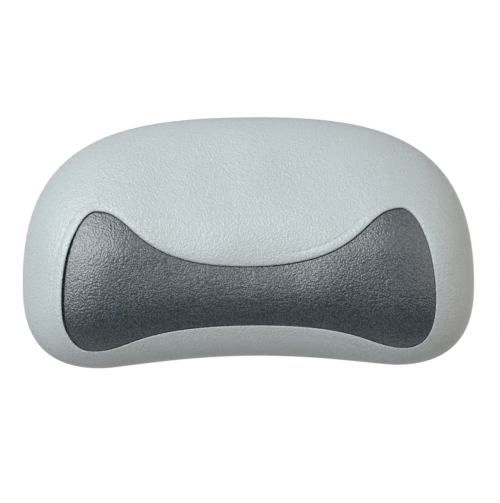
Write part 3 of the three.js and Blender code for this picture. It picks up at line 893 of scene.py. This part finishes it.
def grain_rule():
    """Pebbles pressed into a surface, as deep as its grain attribute says."""
    rule = Rule("pebble_grain", {"Pebble": "NodeSocketFloat", "Depth": "NodeSocketFloat"})
    place = rule.add("GeometryNodeInputPosition").outputs[0]
    pebble, depth = rule.given["Pebble"], rule.given["Depth"]
    per_pebble = rule.calc("DIVIDE", 1.0, pebble)
    noise = {"Vector": place, "Scale": rule.calc("MULTIPLY", per_pebble, WARP_SCALE), "Detail": 1.0}
    push = rule.add("ShaderNodeTexNoise", noise).outputs["Color"]
    warp = rule.vector("SCALE", {0: push, "Scale": rule.calc("MULTIPLY", pebble, WARP_AMOUNT)})
    warped = rule.vector("ADD", {0: place, 1: warp})
    pebbles = {"Vector": warped, "Scale": per_pebble, "Smoothness": PEBBLE_SMOOTHNESS}
    cells = rule.add("ShaderNodeTexVoronoi", pebbles, feature="SMOOTH_F1").outputs["Distance"]
    height = rule.calc("SUBTRACT", 0.5, cells)
    rise = rule.calc("MULTIPLY", height, rule.calc("MULTIPLY", depth, rule.own(GRAIN)))
    normal = rule.add("GeometryNodeInputNormal").outputs[0]
    offset = rule.vector("SCALE", {0: normal, "Scale": rise})
    moved = {"Geometry": rule.given["Geometry"], "Offset": offset}
    return rule.end(rule.add("GeometryNodeSetPosition", moved).outputs[0])


def copies_rule():
    """A copy of one piece on each point, turned about Y by the point's turn."""
    rule = Rule("placed_copies", {"Piece": "NodeSocketObject"})
    piece = rule.add("GeometryNodeObjectInfo", {"Object": rule.given["Piece"]}).outputs["Geometry"]
    about_y = rule.add("ShaderNodeCombineXYZ", {"Y": rule.own(TURN)}).outputs[0]
    on_points = {"Points": rule.given["Geometry"], "Instance": piece, "Rotation": about_y}
    return rule.end(rule.add("GeometryNodeInstanceOnPoints", on_points).outputs[0])


def bead_rule():
    """A round bead along a path."""
    rule = Rule("bead_along_path", {"Radius": "NodeSocketFloat"})
    circle = {"Radius": rule.given["Radius"], "Resolution": BEAD_SIDES}
    profile = rule.add("GeometryNodeCurvePrimitiveCircle", circle).outputs[0]
    path = rule.add("GeometryNodeMeshToCurve", {"Mesh": rule.given["Geometry"]}).outputs[0]
    sweep = {"Curve": path, "Profile Curve": profile}
    bead = rule.add("GeometryNodeCurveToMesh", sweep).outputs[0]
    smooth_bead = rule.add("GeometryNodeSetShadeSmooth", {"Geometry": bead, "Shade Smooth": True})
    return rule.end(smooth_bead.outputs[0])


def set_on_points(name, source, points, turns, finish):
    """One mesh with a copy of a source mesh at each x and z."""
    pattern = shown(f"{name}_pattern", source)
    marks = bpy.data.meshes.new(name)
    marks.from_pydata([(x, 0.0, z) for x, z in points], [], [])
    mark(marks, TURN, turns)
    piece = apply_rule(shown(name, marks), copies_rule(), Piece=pattern, Finish=finish)
    bpy.data.objects.remove(pattern)
    return piece


# Pieces


def pressed(edge):
    """How much the inlay presses each point of the recess edge: most on the right of its horns."""
    to_the_right = smooth(-inward(edge)[:, 0], *PRESS_SIDES)
    return to_the_right * smooth(edge[:, 1] - LOWEST, *PRESS_HEIGHTS)


def eased(edge):
    """How much the foam stands free of the inlay: on the left of its flank and of its horns."""
    return smooth(inward(edge)[:, 0], *EASE_SIDES)


def edge_rise(cushion, press, ease, way):
    """How far the foam round the inlay stands out of the face, at a way from the recess edge."""
    bead = cushion.bead_height * max(math.sin(math.pi * way / cushion.bead_width), 0.0)
    in_lip = 1 - min(way / cushion.lip_width, 1.0)
    in_roll = 1 - min(way / cushion.roll_width, 1.0)
    lip = cushion.lip_depth * (1 - math.sqrt(1 - in_lip**2))
    from_crease = abs(way - cushion.bead_width)
    crease = cushion.crease_depth * smooth(from_crease, cushion.crease_width, 0.0)
    return (bead - crease) * ease - lip - cushion.roll_depth * in_roll**2 * press


def back_rings(face, cushion):
    """Rings from the floor of the board's slot, round the back and out to the parting line."""
    outline = face.outline
    slot = inset(outline, cushion.board_inset - cushion.fit_gap)
    slot_back_y = BOARD_BACK_Y + cushion.fit_gap
    pocket = cushion.plate_inset - cushion.fit_gap
    rings = [
        at_depth(slot, BOARD_FRONT_Y - cushion.fit_gap),
        at_depth(slot, slot_back_y),
        at_depth(inset(outline, pocket), slot_back_y),
    ]
    for turn in np.linspace(0.0, math.pi / 2, EDGE_RINGS):
        out = cushion.pocket_edge * (1 - math.cos(turn))
        forward = cushion.pocket_edge * (1 - math.sin(turn))
        rings.append(at_depth(inset(outline, pocket - out), BACK_Y - forward))
    for turn in np.linspace(math.pi / 2, 0.0, BACK_RINGS, endpoint=False):
        pulled_in = cushion.back_rounding * (1 - math.cos(turn))
        y = face.parting_y + cushion.back_depth * math.sin(turn)
        rings.append(at_depth(inset(outline, pulled_in), y))
    rings.append(at_depth(inset(outline, -cushion.parting_ridge), face.parting_y))
    return rings


def recess_edge(cushion, inlay):
    """The foam's edge round the inlay, with a gap that is wider at the flanks and below."""
    pad = inlay_outline(inlay, cushion)
    right, up = inward(pad).T
    beside = smooth(right, *FREE_SIDES) * smooth(-pad[:, 0], 0.0, inlay.side_margin)
    below = smooth(up, *BELOW_SIDES)
    return inset(pad, -inlay.clearance - inlay.flank_gap * beside - inlay.foot_gap * below)


def front_rings(face, cushion, inlay):
    """Rings from the parting line over the face and down to the middle of the recess floor."""
    edge = recess_edge(cushion, inlay)
    press, ease = pressed(edge), eased(edge)
    across_crease = np.linspace(1.0, -1.0, CREASE_RINGS)
    creased = cushion.bead_width + cushion.crease_width * across_crease
    beaded = creased[-1] * (1 - np.sin(np.linspace(0.0, math.pi / 2, LIP_RINGS)))
    inner = inset(edge, -creased[0])
    rings = []
    for turn in np.linspace(0.0, math.pi / 2, FACE_RINGS + 1)[1:]:
        ring = face.outline + (inner - face.outline) * (1 - math.cos(turn))
        rings.append(at_depth(ring, face.y(ring)))
    for way in (*creased[1:], *beaded[1:]):
        ring = inset(edge, -way)
        rings.append(at_depth(ring, face.y(ring) - edge_rise(cushion, press, ease, way)))
    floor_depth = inlay.sunk + inlay.thickness + cushion.fit_gap
    for amount in (0.0, *PAD_SHARES):
        ring = drawn_in(edge, LOWEST + inlay.widest_height, amount)
        rings.append(at_depth(ring, face.y(ring) + floor_depth))
    return rings


def make_cushion(settings):
    cushion, inlay = settings.cushion, settings.inlay
    face = Face(cushion, inlay)
    rings = back_rings(face, cushion) + front_rings(face, cushion, inlay)
    piece = shown("foam_cushion", loft("foam_cushion", rings))
    piece.data.materials.append(foam_skin(settings.finishes))
    fit(piece, "pillow", "foam_skin", "cushion_body")


def inlay_mesh(sizes, cushion):
    """The pad, from the middle of its back round its edge to the middle of its face."""
    face = Face(cushion, sizes)
    outline = inlay_outline(sizes, cushion)
    level = LOWEST + sizes.widest_height
    radius = sizes.edge_radius
    layers = []
    for amount in (*PAD_SHARES[::-1], 0.0):
        layers.append((drawn_in(outline, level, amount), sizes.thickness, 0.0))
    for part in np.linspace(0.0, 1.0, EDGE_RINGS + 2):
        turn = part * math.pi / 2
        ring = inset(outline, radius * (1 - math.cos(turn)))
        layers.append((ring, radius * (1 - math.sin(turn)), part))
    top = inset(outline, radius)
    for amount in np.linspace(0.0, PAD_MIDDLE, PAD_RINGS + 1)[1:]:
        layers.append((drawn_in(top, level, amount), 0.0, 1.0))
    rings = [at_depth(ring, face.y(ring) + sizes.sunk + depth) for ring, depth, _ in layers]
    mesh = loft("inlay_pad_skin", rings, thin=True)
    mark(mesh, GRAIN, np.repeat([grain for _, _, grain in layers], len(outline)))
    mesh.transform(Matrix.Translation((sizes.shift, 0.0, 0.0)))
    return mesh


def make_inlay(settings):
    sizes = settings.inlay
    piece = apply_rule(
        shown("inlay_skin", inlay_mesh(sizes, settings.cushion)),
        grain_rule(),
        Pebble=sizes.grain_size,
        Depth=sizes.grain_depth,
        Finish=inlay_skin(settings.finishes, sizes.grain_size),
    )
    fit(piece, "pillow", "inlay_skin", "inlay_pad")


def middle(node):
    low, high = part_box(node)
    return (low.x + high.x) / 2, (low.z + high.z) / 2


def cup_axis(node):
    """The x and z of a cup's axis: its tab widens its box to the outer side."""
    low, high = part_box(node)
    radius = (high.z - low.z) / 2
    inner = low.x + radius if low.x > 0 else high.x - radius
    return inner, (low.z + high.z) / 2


def keyhole(sizes, x, z):
    """The ring of a keyhole whose slot ends at x and z, with its round entry below."""
    opening = math.asin(sizes.slot_radius / sizes.entry_radius)
    slot = steps(KEYHOLE_STEPS, 0.0, math.pi)
    entry = np.linspace(math.pi / 2 + opening, 5 * math.pi / 2 - opening, 2 * KEYHOLE_STEPS)
    upper = unit_circle(slot) * sizes.slot_radius
    lower = unit_circle(entry) * sizes.entry_radius - (0.0, sizes.travel)
    return np.vstack([upper, [(-sizes.slot_radius, 0.0)], lower]) + (x, z)


def circle(radius, x, z):
    return unit_circle(steps(2 * KEYHOLE_STEPS, 0.0, 2 * math.pi)) * radius + (x, z)


def filled(name, rings, thickness, rounding):
    """A plate of a ring with holes, with rounded edges, that lies along the XY plane."""
    path = bpy.data.curves.new(name, "CURVE")
    path.dimensions = "2D"
    path.fill_mode = "BOTH"
    path.extrude = thickness / 2 - rounding
    path.bevel_depth = rounding
    path.bevel_resolution = BEVEL_STEPS
    path.offset = -rounding
    for ring in rings:
        spline = path.splines.new("POLY")
        spline.points.add(len(ring) - 1)
        flat = np.zeros(len(ring))
        spline.points.foreach_set("co", np.column_stack([ring, flat, flat + 1.0]).ravel())
        spline.use_cyclic_u = True
    holder = shown(name, path)
    mesh = evaluated(holder)
    bpy.data.objects.remove(holder)
    return mesh


def bead_mesh(edge, sizes, finish):
    """The stiffening bead, let into the back of the plate along its edge."""
    y = PLATE_BACK_Y + sizes.bead_height - sizes.bead_radius
    ring = at_depth(inset(edge, sizes.bead_inset), y)
    path = bpy.data.meshes.new("stiffening_bead")
    path.from_pydata(ring.tolist(), [(i, (i + 1) % len(ring)) for i in range(len(ring))], [])
    holder = shown("stiffening_bead", path)
    mesh = apply_rule(holder, bead_rule(), Radius=sizes.bead_radius, Finish=finish).data
    bpy.data.objects.remove(holder)
    return mesh


def make_back_plate(settings):
    sizes, cushion = settings.back, settings.cushion
    outline = cushion_outline(cushion)[::OUTLINE_STRIDE]
    edge = inset(outline, cushion.plate_inset)
    holes = [keyhole(sizes, *cup_axis(cup)) for cup in CUPS]
    holes += [circle(sizes.screw_hole_radius, *middle(screw)) for screw in SCREWS]
    thickness = PLATE_BACK_Y - PLATE_FRONT_Y
    mesh = filled("back_plate_shell", [edge, *holes], thickness, sizes.plate_edge)
    middle_y = (PLATE_BACK_Y + PLATE_FRONT_Y) / 2
    mesh.transform(Matrix.Translation((0.0, middle_y, 0.0)) @ STAND_UP)
    finish = plate_plastic(settings.finishes)
    bead = bead_mesh(edge, sizes, finish)
    shape = bmesh.new()
    shape.from_mesh(mesh)
    bmesh.ops.remove_doubles(shape, verts=shape.verts, dist=MERGE_DISTANCE)
    shape.from_mesh(bead)
    shape.to_mesh(mesh)
    shape.free()
    outwards(mesh)
    mesh.materials.clear()
    mesh.materials.append(finish)
    fit(shown("back_plate_shell", mesh), "pillow", "back_plate", "back_plate")


def make_core(settings):
    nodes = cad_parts
    finishes = {"core_board": board_fibre(settings.finishes)}
    zinc = metal("plated_zinc", settings.finishes.zinc, ZINC_ROUGHNESS)
    finishes.update({nut: zinc for nut in NUTS})
    for node, finish in finishes.items():
        nodes[node].data.materials.clear()
        nodes[node].data.materials.append(finish)


def mark_radius(mesh):
    """Keeps each point's distance from the Y axis, which tool marks follow."""
    mark(mesh, RADIUS, [math.hypot(vertex.co.x, vertex.co.z) for vertex in mesh.vertices])


def cross_ring(span, width, y):
    """A ring of two crossed bars, at one y."""
    long, short = span / 2, width / 2
    corner = np.array([(short, long), (short, short), (long, short)])
    back = corner[::-1]
    return at_depth(np.vstack([corner, back * (1, -1), -corner, back * (-1, 1)]), y)


def screw_mesh(sizes, seat_y):
    """A domed screw with a tapered cross recess, whose head rests at a seat."""
    tip, top = (corner.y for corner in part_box(SCREWS[0]))
    head, shank = sizes.screw_head_radius, sizes.screw_radius
    brim = top - sizes.screw_head_crown
    dome = [
        (head * math.cos(turn), brim + sizes.screw_head_crown * math.sin(turn))
        for turn in np.linspace(0.0, DOME_END, DOME_STEPS)
    ]
    profile = [
        (POINT_SHARES[0] * shank, tip),
        (shank, tip + POINT_SHARES[1] * shank),
        (shank, seat_y),
        (BRIM_SHARES[0] * head, seat_y),
        (head, seat_y + BRIM_SHARES[1] * head),
        *dome,
    ]
    screw = shown("screw", turned("screw", profile, SCREW_SIDES))
    span, width = sizes.cross_span, sizes.cross_width
    narrow, slim = RECESS_SHARES[0] * span, RECESS_SHARES[1] * width
    recess = [
        cross_ring(narrow, slim, top - sizes.cross_depth),
        cross_ring(span, width, top + sizes.screw_head_crown),
    ]
    cutter = shown("cross_recess", loft("cross_recess", recess))
    cut = screw.modifiers.new("cross_recess", "BOOLEAN")
    cut.object = cutter
    cut.operation = "DIFFERENCE"
    cut.solver = "EXACT"
    mesh = made_plain(screw).data
    bpy.data.objects.remove(cutter)
    bpy.data.objects.remove(screw)
    outwards(mesh)
    mark_radius(mesh)
    return mesh


def washer_mesh(sizes):
    """A flat washer with its outer edge rounded on the side that shows."""
    front, back = (corner.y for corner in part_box(WASHERS[0]))
    hole = sizes.screw_hole_radius
    edge = (back - front) / 3
    profile = [
        (hole, front),
        (sizes.washer_radius, front),
        *arc((sizes.washer_radius - edge, back - edge), edge, 0.0, 90.0, EDGE_RINGS),
        *arc((hole + edge, back - edge), edge, 90.0, 180.0, EDGE_RINGS),
    ]
    mesh = turned("washer", profile, SCREW_SIDES, closed=True)
    mark_radius(mesh)
    return mesh


def make_fasteners(settings):
    sizes = settings.back
    places = [middle(screw) for screw in SCREWS]
    turns = [SCREW_TURN * number for number in range(len(places))]
    steel = metal("turned_steel", settings.finishes.steel, STEEL_ROUGHNESS)
    seat_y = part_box(WASHERS[0])[1].y + settings.cushion.fit_gap
    screws = set_on_points("cross_screws", screw_mesh(sizes, seat_y), places, turns, steel)
    fit(screws, "pillow", "stainless_steel", *SCREWS)
    washers = set_on_points("washers", washer_mesh(sizes), places, turns, steel)
    fit(washers, "pillow", "stainless_steel", *WASHERS)


def cup_mesh(sizes):
    """A suction cup about the Y axis, with its rim on the wall and its pull tab along +X."""
    round_about = steps(CUP_SIDES, -math.pi, math.pi)
    circle_points = unit_circle(round_about)
    half_tab = sizes.tab_width / 2 / sizes.cup_radius
    tab = smooth(half_tab - np.abs(round_about), -TAB_SOFTNESS, TAB_SOFTNESS)

    rings = []
    hollow = sizes.cup_radius - sizes.cup_rim_width
    for part in np.linspace(AXIS_SHARE, 1.0, CUP_STEPS):
        y = -sizes.cup_hollow * (1 - part**HOLLOW_POWER)
        rings.append(at_depth(circle_points * hollow * part, y))
    half_lip = sizes.cup_lip / 2
    for part in np.linspace(0.0, 1.0, CUP_STEPS):
        turn = math.pi * (0.5 - part)
        out = tab * (1 - abs(2 * part - 1) ** TAB_POWER)
        ridge = TAB_RIDGE * math.sin(TAB_RIDGES * 2 * math.pi * part) * (part > 0.5) * tab
        radius = sizes.cup_radius + half_lip * (math.cos(turn) - 1) + sizes.tab_reach * out
        y = half_lip * (math.sin(turn) - 1) * (1 + tab) - sizes.tab_lift * out + ridge * out
        rings.append(at_depth(circle_points * radius[:, None], y))
    shoulder = sizes.cup_shoulder_radius
    for part in np.linspace(1.0, 0.0, CUP_STEPS)[1:]:
        radius = shoulder + (sizes.cup_radius - half_lip - shoulder) * part
        y = -sizes.cup_height + (sizes.cup_height - sizes.cup_lip) * part**DOME_POWER
        tucked = tab * part**TUCK_POWER * half_lip
        rings.append(at_depth(circle_points * radius, y - tucked))
    neck_y = -sizes.cup_height - sizes.cup_neck_length
    neck, head, edge = sizes.cup_neck_radius, sizes.cup_head_radius, sizes.cup_head_rounding
    fillet = sizes.cup_neck_length / 4
    button = [
        *arc((neck + fillet, -sizes.cup_height - fillet), fillet, 90.0, 180.0, EDGE_RINGS),
        *arc((neck + fillet, neck_y + fillet), fillet, 180.0, 270.0, EDGE_RINGS),
        *arc((head - edge / 3, neck_y - edge / 3), edge / 3, 90.0, 0.0, EDGE_RINGS),
        *arc((head - edge, CUP_HEAD_Y + edge), edge, 0.0, -90.0, EDGE_RINGS),
        (AXIS_SHARE * head, CUP_HEAD_Y),
    ]
    rings += [at_depth(circle_points * radius, y) for radius, y in button]
    return loft("suction_cup", rings)


def make_suction_cups(settings):
    places = [cup_axis(cup) for cup in CUPS]
    turns = [0.0 if x > 0 else math.pi for x, _ in places]
    finish = clear_vinyl(settings.finishes)
    cups = set_on_points("clear_cups", cup_mesh(settings.back), places, turns, finish)
    fit(cups, "wall_cups", "clear_pvc", *CUPS)


# Stage


def seen_white(tree, place):
    """1 where the background is seen, straight, through a clear piece or mirrored behind."""
    rays = tree.add("ShaderNodeLightPath").outputs
    straight = tree.calc("MAXIMUM", rays["Is Camera Ray"], rays["Is Transmission Ray"])
    y = tree.add("ShaderNodeSeparateXYZ", {0: place}).outputs["Y"]
    behind = tree.spread(y, 0.0, 1.0, -BACKDROP_EDGE, BACKDROP_EDGE)
    return tree.calc("MAXIMUM", straight, tree.calc("MULTIPLY", rays["Is Glossy Ray"], behind))


def make_world(stage):
    world = bpy.data.worlds.new("studio")
    world.use_nodes = True
    bpy.context.scene.world = world
    tree = Tree(world.node_tree)
    tree.tree.nodes.clear()
    direction = tree.add("ShaderNodeTexCoord").outputs["Generated"]
    sides = {0: direction, 1: WARM_SIDE}
    towards = tree.add("ShaderNodeVectorMath", sides, operation="DOT_PRODUCT").outputs["Value"]
    warmth = tree.spread(towards, 0.0, 1.0, -1.0, 1.0)
    height = tree.add("ShaderNodeSeparateXYZ", {0: direction}).outputs["Z"]
    light = {
        "Color": tree.ramp(warmth, stage.cool_side, stage.warm_side),
        "Strength": tree.spread(height, stage.low_light, 1.0, *SOFT_FALL),
    }
    soft = tree.add("ShaderNodeBackground", light)
    white = tree.add("ShaderNodeBackground", {"Color": (*WHITE, 1.0), "Strength": 1.0})
    parts = {0: seen_white(tree, direction), 1: soft.outputs[0], 2: white.outputs[0]}
    both = tree.add("ShaderNodeMixShader", parts)
    tree.add("ShaderNodeOutputWorld", {"Surface": both.outputs[0]})


def make_floor(stage):
    half = stage.floor_size / 2
    front, back = -stage.floor_front, stage.floor_size - stage.floor_front
    z = LOWEST - stage.drop
    corners = [(-half, front, z), (half, front, z), (half, back, z), (-half, back, z)]
    mesh = bpy.data.meshes.new("floor")
    mesh.from_pydata(corners, [], [(0, 1, 2, 3)])
    paint = Shader("floor_paint")
    mottle = paint.noise(0.4)
    dark, light = tones(stage.floor, 0.98, 1.02)
    matt = paint.add("ShaderNodeBsdfDiffuse", {"Color": paint.ramp(mottle, dark, light)})
    seen = seen_white(paint, paint.place)
    glow = paint.add("ShaderNodeEmission", {"Strength": paint.calc("MULTIPLY", seen, FLOOR_GLOW)})
    both = paint.add("ShaderNodeAddShader", {0: matt.outputs[0], 1: glow.outputs[0]})
    paint.add("ShaderNodeOutputMaterial", {"Surface": both.outputs[0]})
    mesh.materials.append(paint.material)
    shown("floor", mesh)


def make_lamp(name, stage, turn, rise, strength, tint=WHITE):
    """A square lamp that faces the pillow, turned to the right of the face and raised over it."""
    lamp = bpy.data.lights.new(name, "AREA")
    lamp.shape = "SQUARE"
    lamp.size = stage.lamp_size
    lamp.color = tint
    lamp.energy = strength * math.pi * (math.pi * stage.lamp_distance**2 + stage.lamp_size**2)
    level = math.cos(rise)
    towards = Vector((math.sin(turn) * level, -math.cos(turn) * level, math.sin(rise)))
    holder = shown(name, lamp)
    holder.location = towards * stage.lamp_distance
    holder.rotation_euler = towards.to_track_quat("Z", "Y").to_euler()


def make_camera(stage, parting_y):
    camera = bpy.data.cameras.new("camera")
    camera.sensor_width = SENSOR
    camera.lens = SENSOR * stage.camera_distance / stage.view_height
    camera.clip_end = CLIP_END
    holder = shown("camera", camera)
    turn = stage.view_turn
    away = Vector((-math.sin(turn), -math.cos(turn), 0.0)) * stage.camera_distance
    holder.location = Vector((stage.aim_x, parting_y, stage.aim_z)) + away
    holder.rotation_euler = (math.pi / 2, stage.roll, -turn)
    bpy.context.scene.camera = holder


def make_stage(settings):
    stage = settings.stage
    bpy.context.scene.view_settings.view_transform = "Standard"
    make_world(stage)
    make_floor(stage)
    make_lamp("softbox", stage, -stage.lamp_turn, stage.lamp_rise, stage.lamp_share)
    make_lamp("fill", stage, stage.fill_turn, stage.fill_rise, stage.fill_share)
    make_lamp("warm_card", stage, stage.card_turn, 0.0, stage.card_share, stage.card)
    make_camera(stage, BACK_Y - settings.cushion.back_depth)


# Operators


class BATHPILLOW_OT_stage(bpy.types.Operator):
    """Set up the floor, the softbox, the fill, the warm card, the soft light and the camera"""

    bl_idname = "bath_pillow.stage"
    bl_label = "Stage"

    def execute(self, context):
        make_stage(context.scene.bath_pillow)
        return {"FINISHED"}


class BATHPILLOW_OT_cushion(bpy.types.Operator):
    """Make the moulded foam body with its recess for the inlay and its pocket for the plate"""

    bl_idname = "bath_pillow.cushion"
    bl_label = "Foam cushion"

    def execute(self, context):
        make_cushion(context.scene.bath_pillow)
        return {"FINISHED"}


class BATHPILLOW_OT_inlay(bpy.types.Operator):
    """Make the soft inlay with its moulded pebble grain"""

    bl_idname = "bath_pillow.inlay"
    bl_label = "Inlay"

    def execute(self, context):
        make_inlay(context.scene.bath_pillow)
        return {"FINISHED"}


class BATHPILLOW_OT_back_plate(bpy.types.Operator):
    """Make the back plate with its keyholes and stiffening bead"""

    bl_idname = "bath_pillow.back_plate"
    bl_label = "Back plate"

    def execute(self, context):
        make_back_plate(context.scene.bath_pillow)
        return {"FINISHED"}


class BATHPILLOW_OT_core(bpy.types.Operator):
    """Finish the core board and its insert nuts"""

    bl_idname = "bath_pillow.core"
    bl_label = "Core board and nuts"

    def execute(self, context):
        make_core(context.scene.bath_pillow)
        return {"FINISHED"}


class BATHPILLOW_OT_fasteners(bpy.types.Operator):
    """Make the screws and washers that hold the back plate"""

    bl_idname = "bath_pillow.fasteners"
    bl_label = "Screws and washers"

    def execute(self, context):
        make_fasteners(context.scene.bath_pillow)
        return {"FINISHED"}


class BATHPILLOW_OT_suction_cups(bpy.types.Operator):
    """Make the four clear suction cups with their pull tabs"""

    bl_idname = "bath_pillow.suction_cups"
    bl_label = "Suction cups"

    def execute(self, context):
        make_suction_cups(context.scene.bath_pillow)
        return {"FINISHED"}


class BATHPILLOW_PT_sidebar(bpy.types.Panel):
    """Settings of the bath pillow and the steps that build it"""

    bl_idname = "BATHPILLOW_PT_sidebar"
    bl_label = "Bath Pillow"
    bl_space_type = "VIEW_3D"
    bl_region_type = "UI"
    bl_category = "Bath Pillow"

    def draw(self, context):
        settings = context.scene.bath_pillow
        for step in STEPS:
            self.layout.operator(f"bath_pillow.{step}")
        for group in ("cushion", "inlay", "back", "finishes", "stage"):
            box = self.layout.box()
            box.label(text=settings.bl_rna.properties[group].name)
            values = getattr(settings, group)
            for name in type(values).__annotations__:
                box.prop(values, name)


STEPS = ("stage", "cushion", "inlay", "back_plate", "core", "fasteners", "suction_cups")

CLASSES = (
    CushionSizes,
    InlaySizes,
    BackSizes,
    Finishes,
    StageSettings,
    PillowSettings,
    BATHPILLOW_OT_stage,
    BATHPILLOW_OT_cushion,
    BATHPILLOW_OT_inlay,
    BATHPILLOW_OT_back_plate,
    BATHPILLOW_OT_core,
    BATHPILLOW_OT_fasteners,
    BATHPILLOW_OT_suction_cups,
    BATHPILLOW_PT_sidebar,
)


def register():
    for cls in CLASSES:
        bpy.utils.register_class(cls)
    bpy.types.Scene.bath_pillow = PointerProperty(type=PillowSettings)


def unregister():
    del bpy.types.Scene.bath_pillow
    for cls in reversed(CLASSES):
        bpy.utils.unregister_class(cls)


def main():
    register()
    for step in STEPS:
        getattr(bpy.ops.bath_pillow, step)()


if __name__ == "__main__":
    main()
